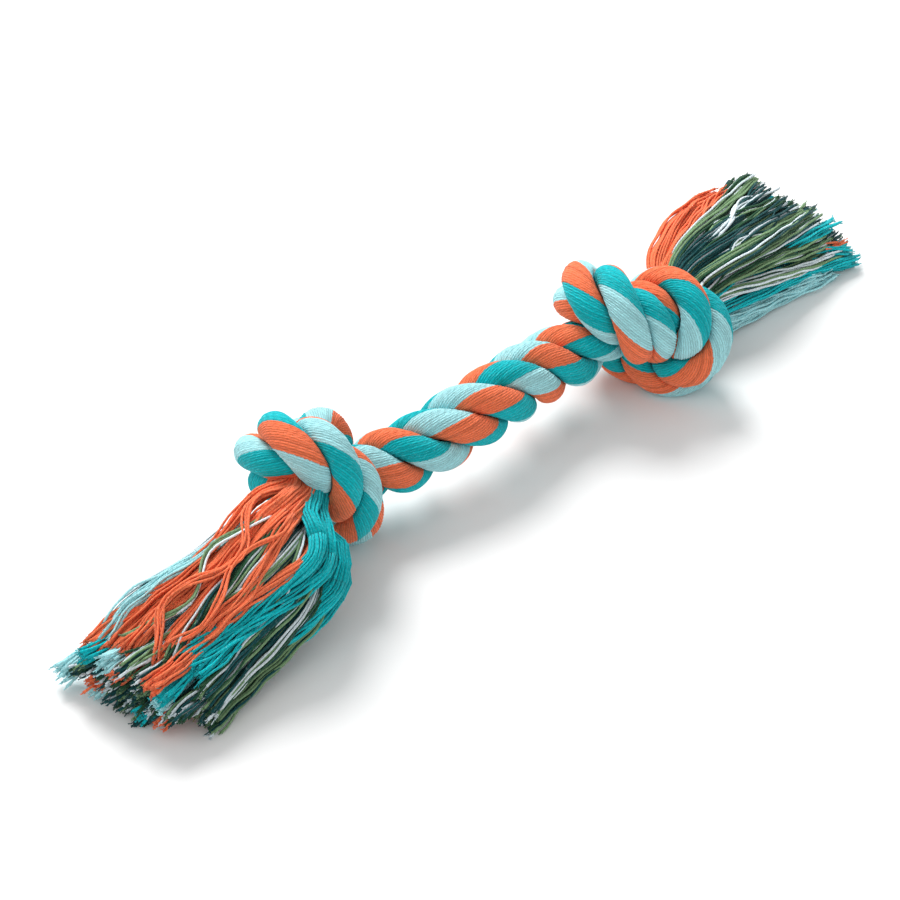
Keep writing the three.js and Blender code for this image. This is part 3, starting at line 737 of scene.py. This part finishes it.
def bunch_paths(rng, pivot, side, size, row, steps, yarn):
    """Paths of the yarns of one bunch, as an array of yarns by rings. The bunch
    follows a smooth curve through its points, with ROOT_RINGS rings before the
    throat's pivot and the rest beyond it. Its yarns lie on a sunflower disc that
    turns along the bunch and widens at its tip. Each is crimped, which is a sine of
    the length along it, and wanders a little."""
    count, points = row
    along, across = tassel_frame(side, size)
    middle = curve_through(points, PATH_STEP)
    crossing = int(np.argmax(middle[:, 0] > 0.0))
    before = np.linspace(0, crossing, ROOT_RINGS + 1)[:-1]
    beyond = np.linspace(crossing, len(middle) - 1, steps - ROOT_RINGS)
    rings = np.concatenate([before, beyond])
    middle = sampled(rings, np.arange(len(middle)), middle)
    ahead, u, v = frames(middle)
    t = np.linspace(0, 1, steps)
    k = np.arange(count)
    radius = yarn * YARN_SPACING * np.sqrt(k + DISC_START)
    phase = k * GOLDEN_TURN + rng.uniform(0, ANY_TURN)
    turn = rng.choice([-1.0, 1.0]) * rng.uniform(*TWIST) * t
    wide = (1.0 + TIP_SPREAD * t**3) * radius[:, None]
    wander = WANDER_GROWTH[0] + WANDER_GROWTH[1] * t
    wave = 2 * math.pi * rings * PATH_STEP / CRIMP + rng.uniform(0, ANY_TURN)
    wave = wave + rng.normal(0, OUT_OF_STEP, count)[:, None]
    crimp = rng.uniform(*CRIMP_DEPTH) * (CRIMP_GROWTH[0] + CRIMP_GROWTH[1] * t)
    phase = phase[:, None] + turn
    y = wide * np.cos(phase) + smooth_noise(rng, count, steps, WANDER_STEP) * wander * WANDER[0]
    z = wide * np.sin(phase) * FLATNESS
    z = z + smooth_noise(rng, count, steps, WANDER_STEP) * wander * WANDER[1]
    y = y + crimp * np.sin(wave)
    z = z + crimp * np.cos(wave)
    slack = (rng.standard_normal(count) * SLACK)[:, None] * t**2
    local = middle + y[..., None] * v + z[..., None] * u + slack[..., None] * ahead
    path = pivot * [1, 1, 0] + local[..., :1] * along + local[..., 1:2] * across
    path[..., 2] = np.maximum(local[..., 2], yarn)
    return path


def fray_paths(rng, paths):
    """Short fibres that stand out of each cut end, straight on from the yarn with
    a random part to the side that grows as the square of the length."""
    tip = np.repeat(paths[:, -1], FRAYS, 0)
    ahead = paths[:, -1] - paths[:, -2]
    ahead = np.repeat(ahead / length_of(ahead), FRAYS, 0)
    spread = rng.standard_normal(tip.shape) * FRAY_SPREAD
    reach = rng.uniform(*FRAY_LENGTH, len(tip))[:, None, None] * FRAY_RINGS
    tip, ahead, spread = tip[:, None], ahead[:, None], spread[:, None]
    path = tip + ahead * reach + spread * reach * np.abs(reach) * FRAY_CURL + spread * FRAY_FOOT
    path[..., 2] = np.maximum(path[..., 2], FRAY_RADIUS)
    return path


def yarn_tubes(name, paths, tones, yarn, sides=YARN_SIDES):
    """Round tubes along many paths at once, closed by a fan at each end. A tube's
    axes are the path's direction crossed with a line near the upright, and the
    direction crossed with that axis. Its last ring is wider than the rest."""
    ahead = np.gradient(paths, axis=1)
    ahead = ahead / length_of(ahead)
    flat = np.cross(ahead, NEAR_UP)
    flat = flat / length_of(flat)
    over = np.cross(ahead, flat)
    yarns, steps = paths.shape[:2]
    angle = 2 * math.pi * np.arange(sides) / sides
    width = np.full(steps, yarn)
    width[-1] = yarn * CUT_FLARE
    ring = np.cos(angle)[:, None] * flat[:, :, None] + np.sin(angle)[:, None] * over[:, :, None]
    points = paths[:, :, None] + ring * width[:, None, None]
    along = np.concatenate([np.zeros((yarns, 1)), np.cumsum(length_of(np.diff(paths, axis=1))[..., 0], 1)], 1)
    body = points.reshape(yarns, steps * sides, 3)
    ends = np.stack([paths[:, 0], paths[:, -1] + ahead[:, -1] * yarn * CUT_DOME], 1)
    vertices = np.concatenate([body, ends], 1)
    size = vertices.shape[1]
    quads = grid_faces(steps, sides)
    down, column = np.divmod(np.arange(len(quads)), sides)
    u = (column[:, None] + np.array([0, 1, 1, 0])) / sides
    rows = down[:, None] + np.array([0, 0, 1, 1])
    k = np.arange(sides)
    last = (steps - 1) * sides
    root = np.stack([np.full(sides, steps * sides), (k + 1) % sides, k], 1)
    tip = np.stack([np.full(sides, steps * sides + 1), last + k, last + (k + 1) % sides], 1)
    shift = (np.arange(yarns) * size)[:, None, None]
    faces = [(part[None] + shift).reshape(-1, part.shape[1]) for part in (quads, root, tip)]
    v = along[:, rows]
    uv = np.stack([np.broadcast_to(u, v.shape) + np.arange(yarns)[:, None, None], v], -1).reshape(-1, 4, 2)
    cap = np.zeros((yarns * sides, 3, 2))
    tip_uv = np.repeat(along[:, -1], sides * 3).reshape(yarns * sides, 3)
    tip_uv = np.stack([np.repeat(np.arange(yarns) + 0.5, sides * 3).reshape(yarns * sides, 3), tip_uv], -1)
    vertices = vertices.reshape(-1, 3) * MM
    return mesh_object(name, vertices, faces, [uv, cap, tip_uv], tone=np.repeat(tones, size))


# Materials

COVERS = ("orange", "teal", "pale")
CORE_TONES = {"deep": 0.0, "green": 0.36, "sage": 0.58, "lilac": 0.77}  # where each begins
# the groove share is how much painted shade darkens the grooves between yarns
ROPE_COTTON = {"Variation": 0.3, "Lay": 0.45, "Groove": 0.35}
YARN_COTTON = {"Variation": 0.35, "Lay": 0.55, "Groove": 0.0}
ROPE_NAP = 0.0004
YARN_NAP = 0.0003


def linear(colour):
    """Linear red, green and blue of a colour as it shows on a screen."""
    return tuple(((c + 0.055) / 1.055) ** 2.4 if c > 0.04045 else c / 12.92 for c in colour[:3]) + (1.0,)


class Graph:
    """Nodes of one tree, each added with its settings and its inputs in one call.
    An input is a value, or the output of another node."""

    def __init__(self, tree):
        self.tree = tree

    def add(self, kind, inputs=None, **settings):
        """A node with its settings, and then its inputs."""
        node = self.tree.nodes.new(kind)
        for name, value in settings.items():
            setattr(node, name, value)
        for socket, value in (inputs or {}).items():
            target = node.inputs[socket]
            if isinstance(value, bpy.types.NodeSocket):
                self.tree.links.new(value, target)
            else:
                target.default_value = value
        return node

    def maths(self, operation, a, b=0.0, c=0.0):
        """The operation on up to three numbers."""
        return self.add("ShaderNodeMath", {0: a, 1: b, 2: c}, operation=operation).outputs[0]

    def scaled(self, value, factor, offset):
        """Value times factor, plus offset."""
        return self.maths("ADD", self.maths("MULTIPLY", value, factor), offset)

    def swayed(self, base, source, share):
        """Base plus share times what the source is above one half."""
        return self.scaled(self.maths("SUBTRACT", source, 0.5), share, base)

    def noise(self, vector, scale, detail, roughness=0.5):
        """Soft noise between 0 and 1."""
        inputs = {"Vector": vector, "Scale": scale, "Detail": detail, "Roughness": roughness}
        return self.add("ShaderNodeTexNoise", inputs).outputs[0]

    def place(self):
        """Place on the piece, in metres."""
        return self.add("ShaderNodeTexCoord").outputs["Object"]

    def mixed(self, share, a, b, blend="MIX"):
        """Colour a, with a share of it blended with colour b."""
        node = self.add("ShaderNodeMix", {0: share, 6: a, 7: b}, data_type="RGBA", blend_type=blend)
        return node.outputs[2]

    def steps(self, share, stops):
        """The colour of the last stop that the share has passed."""
        node = self.add("ShaderNodeValToRGB", {0: share})
        node.color_ramp.interpolation = "CONSTANT"
        points = node.color_ramp.elements
        while len(points) < len(stops):
            points.new(1.0)
        for point, (position, colour) in zip(points, stops):
            point.position = position
            point.color = colour
        return node.outputs[0]


def blank(owner):
    """The emptied node tree of a material or a world."""
    owner.use_nodes = True
    owner.node_tree.nodes.clear()
    return Graph(owner.node_tree)


def cotton_group():
    """Twisted cotton yarn, shared by every yarn. Across counts yarns and Along is
    in millimetres. The plies are slanting ridges with painted shade between them,
    the fibres are fine streaks that lighten and darken the colour, the brightest
    fibres carry a painted highlight, painted shade darkens each yarn's two edges
    in the grooves, and each yarn is a little lighter or darker."""
    tree = bpy.data.node_groups.new("cotton_yarn", "ShaderNodeTree")
    inputs = ("Colour", "Across", "Along", "Variation", "Lay", "Groove")
    for way, names in (("INPUT", inputs), ("OUTPUT", ("Colour", "Roughness", "Height"))):
        for name in names:
            kind = "NodeSocketColor" if name == "Colour" else "NodeSocketFloat"
            tree.interface.new_socket(name, in_out=way, socket_type=kind)
    g = Graph(tree)
    given = g.add("NodeGroupInput").outputs
    across, along = given["Across"], given["Along"]
    inside = g.maths("FRACT", across)
    yarn = g.maths("FLOOR", across)
    own = g.add("ShaderNodeTexWhiteNoise", {"W": yarn}, noise_dimensions="1D").outputs["Value"]
    # plies: one slanting ridge for every lay of yarn, with painted shade between them
    slant = g.scaled(along, given["Lay"], g.maths("ADD", inside, own))
    ply = g.maths("ABSOLUTE", g.maths("SINE", g.maths("MULTIPLY", slant, math.pi)))
    # fibres: noise drawn out along the yarn and slanted with the ply
    streak = {0: g.maths("MULTIPLY", across, 3.2), 1: g.maths("MULTIPLY", slant, 1.3), 2: own}
    fibre = g.noise(g.add("ShaderNodeCombineXYZ", streak).outputs[0], 1.4, 3.0, 0.7)
    fuzz = g.noise(g.place(), 2600.0, 2.0, 0.8)
    patch = g.noise(g.place(), 120.0, 2.0)
    shade = g.swayed(1.0, own, given["Variation"])
    for source, share in ((fibre, 0.6), (fuzz, 0.9), (patch, 0.12)):
        shade = g.swayed(shade, source, share)
    # painted shade: the colour is darker between the plies and lighter on their crests
    shade = g.maths("MULTIPLY", shade, g.scaled(ply, 0.16, 0.96))
    # painted shade in the grooves: darker towards the yarn's two edges
    edge = g.maths("POWER", g.maths("ABSOLUTE", g.scaled(inside, 2.0, -1.0)), 3.0)
    groove = g.maths("SUBTRACT", 1.0, g.maths("MULTIPLY", edge, given["Groove"]))
    shade = g.maths("MULTIPLY", shade, groove)
    grey = g.add("ShaderNodeCombineColor", {0: shade, 1: shade, 2: shade}).outputs[0]
    colour = g.mixed(1.0, given["Colour"], grey, "MULTIPLY")
    # painted highlight: the brightest fibres are near white
    painted_fibre_highlight = g.maths("SMOOTH_MAX", g.maths("SUBTRACT", fibre, 0.58), 0.0, 0.02)
    colour = g.mixed(g.maths("MULTIPLY", painted_fibre_highlight, 1.1), colour, (0.95, 0.93, 0.9, 1.0))
    rough = g.scaled(fibre, 0.12, 0.8)
    height = g.scaled(ply, 0.6, g.maths("MULTIPLY", fibre, 0.5))
    height = g.scaled(fuzz, 0.8, height)
    g.add("NodeGroupOutput", {"Colour": colour, "Roughness": rough, "Height": height})
    return tree


def cotton_material(name, group, make_colour, values, nap):
    """Cotton whose colour is worked out by make_colour from the graph and the yarn
    map's value across. Nap is the height of the bumps in metres."""
    material = bpy.data.materials.new(name)
    g = blank(material)
    chart = g.add("ShaderNodeUVMap", uv_map="yarn_map").outputs[0]
    across, along, _ = g.add("ShaderNodeSeparateXYZ", {0: chart}).outputs
    inputs = {"Colour": make_colour(g, across), "Across": across, "Along": along, **values}
    yarn = g.add("ShaderNodeGroup", inputs, node_tree=group).outputs
    bump = {"Height": yarn["Height"], "Strength": 0.6, "Distance": nap}
    surface = {
        "Base Color": yarn["Colour"],
        "Roughness": yarn["Roughness"],
        "Normal": g.add("ShaderNodeBump", bump).outputs[0],
        "Specular IOR Level": 0.15,
        "Sheen Weight": 0.1,
        "Sheen Roughness": 0.5,
    }
    surface = g.add("ShaderNodeBsdfPrincipled", surface)
    g.add("ShaderNodeOutputMaterial", {"Surface": surface.outputs[0]})
    return material


def rope_colour(colours, yarns):
    """Orange, teal and pale yarns, each a third of the way round a strand. The
    border between two colours is ragged by less than a yarn."""

    def make(g, across):
        """Share of the way round the strand, and its third's colour."""
        moved = g.swayed(across, g.noise(g.place(), 900.0, 2.0), 1.2)
        yarn = g.maths("ADD", g.maths("FLOOR", moved), 0.5 + yarns)
        share = g.maths("FRACT", g.maths("DIVIDE", yarn, float(yarns)))
        return g.steps(share, [(i / 3, colours[name]) for i, name in enumerate(COVERS)])

    return make


def yarn_colour(stops):
    """A colour picked for each yarn by its tone."""

    def make(g, across):
        """The tone's colour; where the yarn lies on the map has no part in it."""
        tone = g.add("ShaderNodeAttribute", attribute_name="tone").outputs["Fac"]
        return g.steps(tone, stops)

    return make


def finished(piece, material, body=None, between=None, stands_for=()):
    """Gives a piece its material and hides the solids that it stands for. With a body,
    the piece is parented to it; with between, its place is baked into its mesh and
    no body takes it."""
    piece.data.materials.append(material)
    if between:
        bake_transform(piece)
    else:
        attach(piece, body)
    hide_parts(*stands_for)


# What a user can change


def number(name, description, value, **more):
    """A property of one float; more holds its unit, subtype or limits."""
    return bpy.props.FloatProperty(name=name, description=description, default=value, **more)


def triple(name, description, value, **more):
    """A property of three floats."""
    return bpy.props.FloatVectorProperty(
        name=name, description=description, default=value, size=3, **more
    )


def shade(name, description, value):
    """A colour as it shows on a screen."""
    return triple(name, description, value, subtype="COLOR_GAMMA", min=0.0, max=1.0)


def side_choice(description):
    """The left or the right end of the toy."""
    items = [(side, side.title(), "") for side in SIGNS]
    return bpy.props.EnumProperty(name="Side", description=description, items=items)


class TOY_PG_rope(bpy.types.PropertyGroup):
    strand_radius: number("Strand radius", "Of a strand where nothing presses on it", 0.0067, unit="LENGTH")
    crease: number("Crease", "Gap left between strands that touch", 0.0001, unit="LENGTH")
    yarns: bpy.props.IntProperty(name="Cover yarns", description="Round one strand", default=36, min=9)
    yarn_depth: number("Yarn depth", "Depth of the groove between two yarns", 0.0003, unit="LENGTH")
    yarn_turn: number("Yarn turn", "Turn of the yarns per metre of strand, in radians", -126.0)
    start: triple("Start", "Turns by which each strand's first yarn is rolled", (0.143, 0.872, 0.935))


class TOY_PG_tassels(bpy.types.PropertyGroup):
    yarn: number("Yarn radius", "Of one cut yarn", 0.00051, unit="LENGTH")
    steps: bpy.props.IntProperty(name="Steps", description="Rings along one yarn", default=30, min=12)


class TOY_PG_colours(bpy.types.PropertyGroup):
    orange: shade("Orange", "Cover yarn", (0.92, 0.46, 0.30))
    teal: shade("Teal", "Cover yarn", (0.0, 0.70, 0.73))
    pale: shade("Pale aqua", "Cover yarn", (0.65, 0.87, 0.89))
    deep: shade("Deep teal", "Core yarn", (0.04, 0.27, 0.28))
    green: shade("Dark green", "Core yarn", (0.13, 0.30, 0.20))
    sage: shade("Sage", "Core yarn", (0.45, 0.58, 0.42))
    lilac: shade("Pale lilac", "Core yarn", (0.82, 0.87, 0.89))


class TOY_PG_stage(bpy.types.PropertyGroup):
    azimuth: number("Azimuth", "Of the camera", math.radians(-45.0), subtype="ANGLE")
    elevation: number("Elevation", "Of the camera", math.radians(41.0), subtype="ANGLE")
    lens: number("Lens", "Focal length in millimetres", 135.0)
    distance: number("Distance", "From the camera to the toy", 1.323, unit="LENGTH")
    aim: triple(
        "Aim", "Point that the camera looks at", (-0.0166, 0.0052, 0.0107), subtype="XYZ", unit="LENGTH"
    )
    key: number("Key light", "Power of the large light", 27.5, unit="POWER")
    fill: number("Fill light", "Power of the second light", 4.0, unit="POWER")
    sky: number("Sky", "Strength of the even light", 0.62)


# Operators

ROUTE = {}


def prepared():
    """The rope's route, its cover and the materials, worked out once."""
    if not ROUTE:
        scene = bpy.context.scene
        ROUTE["route"] = Route()
        ROUTE["cover"] = Cover(ROUTE["route"], scene.toy_rope)
        names = (*COVERS, *CORE_TONES)
        colours = {name: linear(getattr(scene.toy_colours, name)) for name in names}
        group = cotton_group()
        pattern = rope_colour(colours, scene.toy_rope.yarns)
        ROUTE["rope"] = cotton_material("rope_cover", group, pattern, ROPE_COTTON, ROPE_NAP)
        kinds = {kind: [(0.0, colours[kind]), (0.999, colours[kind])] for kind in COVERS}
        kinds["core"] = [(tone, colours[name]) for name, tone in CORE_TONES.items()]
        for kind, stops in kinds.items():
            pattern = yarn_colour(stops)
            ROUTE[kind] = cotton_material(f"{kind}_yarn", group, pattern, YARN_COTTON, YARN_NAP)
    return ROUTE


def rope_pieces(name, near, far, stands_for, body=None, bend=None, taper=None):
    """Three strands of the stretch of rope between two places along it. A bend gives
    two bodies, and the two places between which the rope would go over from the first
    to the second; its pieces are baked where they are and no body takes them."""
    made = prepared()
    low, high = sorted((near, far))
    between = bend and (*bend[:2], *(made["route"].at(place) * MM for place in bend[2:]))
    for which, letter in enumerate("abc"):
        piece = made["cover"].piece(f"{name}_{letter}", which, low, high, taper)
        finished(piece, made["rope"], body, between, [f"{stands_for}_{letter}"])


class TOY_OT_bar(bpy.types.Operator):
    """Build the bar between the knots, with a bend on either side of its middle"""

    bl_idname = "toy.bar"
    bl_label = "Bar"

    def execute(self, context):
        """The middle of the bar, and on either side a piece for each of two pivots."""
        places = prepared()["route"].places
        low, high = places["left_bend"] + PIECE_REACH, places["right_bend"] - PIECE_REACH
        rope_pieces("bar_rope", low, high, "bar_strand", body="bar")
        for side, sign in SIGNS.items():
            bar, knot = f"{side}_bar", f"{side}_knot"
            bend, neck = places[f"{side}_bend"], places[f"{side}_neck"]
            seam, reach = (bend + neck) / 2, sign * PIECE_REACH
            for name, a, b, pivot, near, far in (
                ("bend", "bar", bar, bend, bend - reach, seam),
                ("neck", bar, knot, neck, seam, neck + reach),
            ):
                ends = (pivot - sign * BEND_REACH, pivot + sign * BEND_REACH)
                rope_pieces(f"{side}_{name}_rope", near, far, f"{bar}_strand", bend=(a, b, *ends))
        return {"FINISHED"}


class TOY_OT_knot(bpy.types.Operator):
    """Build one knot and the rope's way out of it"""

    bl_idname = "toy.knot"
    bl_label = "Knot"
    side: side_choice("Which knot")

    def execute(self, context):
        """The knot as far as the seam, and from there the rope that bends into the throat."""
        places = prepared()["route"].places
        side, sign = self.side, SIGNS[self.side]
        knot, throat = f"{side}_knot", f"{side}_throat"
        pivot = places[throat]
        neck = places[f"{side}_neck"] + sign * PIECE_REACH
        seam, stop = pivot - sign * THROAT_SEAM, pivot - sign * THROAT_STOP
        taper = [pivot - sign * before for before in TAPER]
        rope_pieces(f"{knot}_rope", neck, seam, f"{knot}_strand", body=knot, taper=taper)
        bend = (knot, throat, pivot - sign * THROAT_BEND, pivot)
        rope_pieces(f"{throat}_rope", seam, stop, f"{throat}_strand", bend=bend, taper=taper)
        return {"FINISHED"}


class TOY_OT_tassel(bpy.types.Operator):
    """Build one tassel of loose yarns"""

    bl_idname = "toy.tassel"
    bl_label = "Tassel"
    side: side_choice("Which tassel")

    def execute(self, context):
        """For each kind of yarn the roots, the brush and the fibres at its cut ends."""
        made, tassels = prepared(), context.scene.toy_tassels
        side, sign = self.side, SIGNS[self.side]
        size = LEFT_TASSEL if side == "left" else RIGHT_TASSEL
        route, pivot = made["route"], JOINTS[f"{side}_throat"] / MM
        yarn = tassels.yarn / MM
        rng = np.random.default_rng(size["seed"])
        along, across = tassel_frame(sign, size)
        root = route.at(route.places[f"{side}_throat"] - sign * ROOT_DEPTH)
        root = np.array([(root - pivot) @ along, (root - pivot) @ across, root[2]])
        knot, throat, tassel = f"{side}_knot", f"{side}_throat", f"{side}_tassel"
        strands = [f"{throat}_strand_{letter}" for letter in "abc"]
        for kind, rows in bunch_rows(size, root).items():
            paths, tones = [], []
            for row in rows:
                paths.append(bunch_paths(rng, pivot, sign, size, row, tassels.steps, yarn))
                own = rng.uniform(0.0, 1.0)
                tones.append((own + rng.normal(0.0, TONE_SCATTER, row[0])) % TONE_TOP)
            paths, tones = np.concatenate(paths), np.concatenate(tones)
            locks = [f"{tassel}_{kind}_{letter}" for letter in "abc"]
            for name, part, a, b, reach, nodes in (
                (f"{side}_root_{kind}", paths[:, : ROOT_RINGS + 1], knot, throat, ROOT_BEND, strands),
                (f"{tassel}_{kind}", paths[:, ROOT_RINGS:], throat, tassel, BRUSH_BEND, locks),
            ):
                piece = yarn_tubes(name, part, tones, yarn)
                between = (a, b, *((pivot + along * place) * MM for place in reach))
                finished(piece, made[kind], between=between, stands_for=nodes)
            frays = fray_paths(rng, paths)
            tones = np.repeat(tones, FRAYS)
            piece = yarn_tubes(f"{side}_frays_{kind}", frays, tones, FRAY_RADIUS, FRAY_SIDES)
            finished(piece, made[kind], body=tassel, stands_for=locks)
        return {"FINISHED"}


WHITE = (1, 1, 1, 1)
FLOOR_REACH = 6.0  # metres from its middle to an edge
FLOOR_GLOW = {"From Min": 0.5, "From Max": 3.0, "To Max": 0.6}  # distance in metres, strength
LAMPS = {"key": (0.9, (0.32, 0.8, 1.0)), "fill": (1.4, (-1.0, -0.1, 1.1))}  # size, direction
LAMP_DISTANCE = 1.6


class TOY_OT_stage(bpy.types.Operator):
    """Set up the floor, the lights and the camera"""

    bl_idname = "toy.stage"
    bl_label = "Stage"

    def execute(self, context):
        """An even sky, a floor that glows with the distance, two lamps and the camera."""
        scene, stage = context.scene, context.scene.toy_stage
        scene.view_settings.view_transform = "Standard"
        scene.world = bpy.data.worlds.new("studio")
        g = blank(scene.world)
        rays = g.add("ShaderNodeLightPath").outputs
        seen = g.maths("MAXIMUM", rays["Is Camera Ray"], rays["Is Glossy Ray"])
        strength = g.scaled(seen, 1.0 - stage.sky, stage.sky)
        sky = g.add("ShaderNodeBackground", {"Color": WHITE, "Strength": strength})
        g.add("ShaderNodeOutputWorld", {"Surface": sky.outputs[0]})

        corners = np.array([[-1, -1, 0], [1, -1, 0], [1, 1, 0], [-1, 1, 0]]) * FLOOR_REACH
        floor = mesh_object("floor", corners, [np.array([[0, 1, 2, 3]])])
        material = bpy.data.materials.new("pale_floor")
        g = blank(material)
        rays = g.add("ShaderNodeLightPath").outputs
        paper = g.add("ShaderNodeBsdfDiffuse", {"Color": (0.9, 0.9, 0.9, 1)})
        away = g.add("ShaderNodeVectorMath", {0: g.place()}, operation="LENGTH").outputs["Value"]
        far = g.add("ShaderNodeMapRange", {"Value": away, **FLOOR_GLOW})
        glow = g.add("ShaderNodeEmission", {"Color": WHITE, "Strength": far.outputs[0]})
        both = g.add("ShaderNodeAddShader", {0: paper.outputs[0], 1: glow.outputs[0]})
        pick = {0: rays["Is Camera Ray"], 1: paper.outputs[0], 2: both.outputs[0]}
        pick = g.add("ShaderNodeMixShader", pick)
        g.add("ShaderNodeOutputMaterial", {"Surface": pick.outputs[0]})
        floor.data.materials.append(material)

        aim = Vector(stage.aim)
        for name, energy in (("key", stage.key), ("fill", stage.fill)):
            lamp = bpy.data.lights.new(name, "AREA")
            lamp.shape = "DISK"
            lamp.size, back = LAMPS[name][0], Vector(LAMPS[name][1])
            lamp.energy = energy
            light = bpy.data.objects.new(name, lamp)
            scene.collection.objects.link(light)
            light.location = aim + back.normalized() * LAMP_DISTANCE
            light.rotation_euler = back.to_track_quat("Z", "Y").to_euler()

        lens = bpy.data.cameras.new("camera")
        lens.lens = stage.lens
        lens.clip_start, lens.clip_end = 0.05, 20.0
        camera = bpy.data.objects.new("camera", lens)
        scene.collection.objects.link(camera)
        a, e = stage.azimuth, stage.elevation
        back = Vector((math.sin(a) * math.cos(e), -math.cos(a) * math.cos(e), math.sin(e)))
        camera.location = aim + back * stage.distance
        camera.rotation_euler = back.to_track_quat("Z", "Y").to_euler()
        scene.camera = camera
        return {"FINISHED"}


class TOY_PT_panel(bpy.types.Panel):
    """Lists the operators and the sizes of the toy"""

    bl_idname = "TOY_PT_panel"
    bl_label = "Rope dog toy"
    bl_space_type = "VIEW_3D"
    bl_region_type = "UI"
    bl_category = "Rope Toy"

    def draw(self, context):
        """The operators first, then a box for each group of sizes."""
        layout = self.layout
        layout.operator("toy.stage")
        layout.operator("toy.bar")
        for side in SIGNS:
            row = layout.row()
            row.operator("toy.knot", text=f"{side.title()} knot").side = side
            row.operator("toy.tassel", text=f"{side.title()} tassel").side = side
        for group in ("toy_rope", "toy_tassels", "toy_colours", "toy_stage"):
            box = layout.box()
            values = getattr(context.scene, group)
            for name in values.bl_rna.properties.keys():
                if name not in ("name", "rna_type"):
                    box.prop(values, name)


GROUPS = {
    "toy_rope": TOY_PG_rope,
    "toy_tassels": TOY_PG_tassels,
    "toy_colours": TOY_PG_colours,
    "toy_stage": TOY_PG_stage,
}
CLASSES = (*GROUPS.values(), TOY_OT_stage, TOY_OT_bar, TOY_OT_knot, TOY_OT_tassel, TOY_PT_panel)


def register():
    """Registers the classes and hangs the groups on the scene."""
    for item in CLASSES:
        bpy.utils.register_class(item)
    for name, group in GROUPS.items():
        setattr(bpy.types.Scene, name, bpy.props.PointerProperty(type=group))


def unregister():
    """Undoes what register does, in the other order."""
    for name in GROUPS:
        delattr(bpy.types.Scene, name)
    for item in reversed(CLASSES):
        bpy.utils.unregister_class(item)


def main():
    """Builds the toy."""
    register()
    bpy.ops.toy.stage()
    bpy.ops.toy.bar()
    for side in SIGNS:
        bpy.ops.toy.knot(side=side)
        bpy.ops.toy.tassel(side=side)


if __name__ == "__main__":
    main()
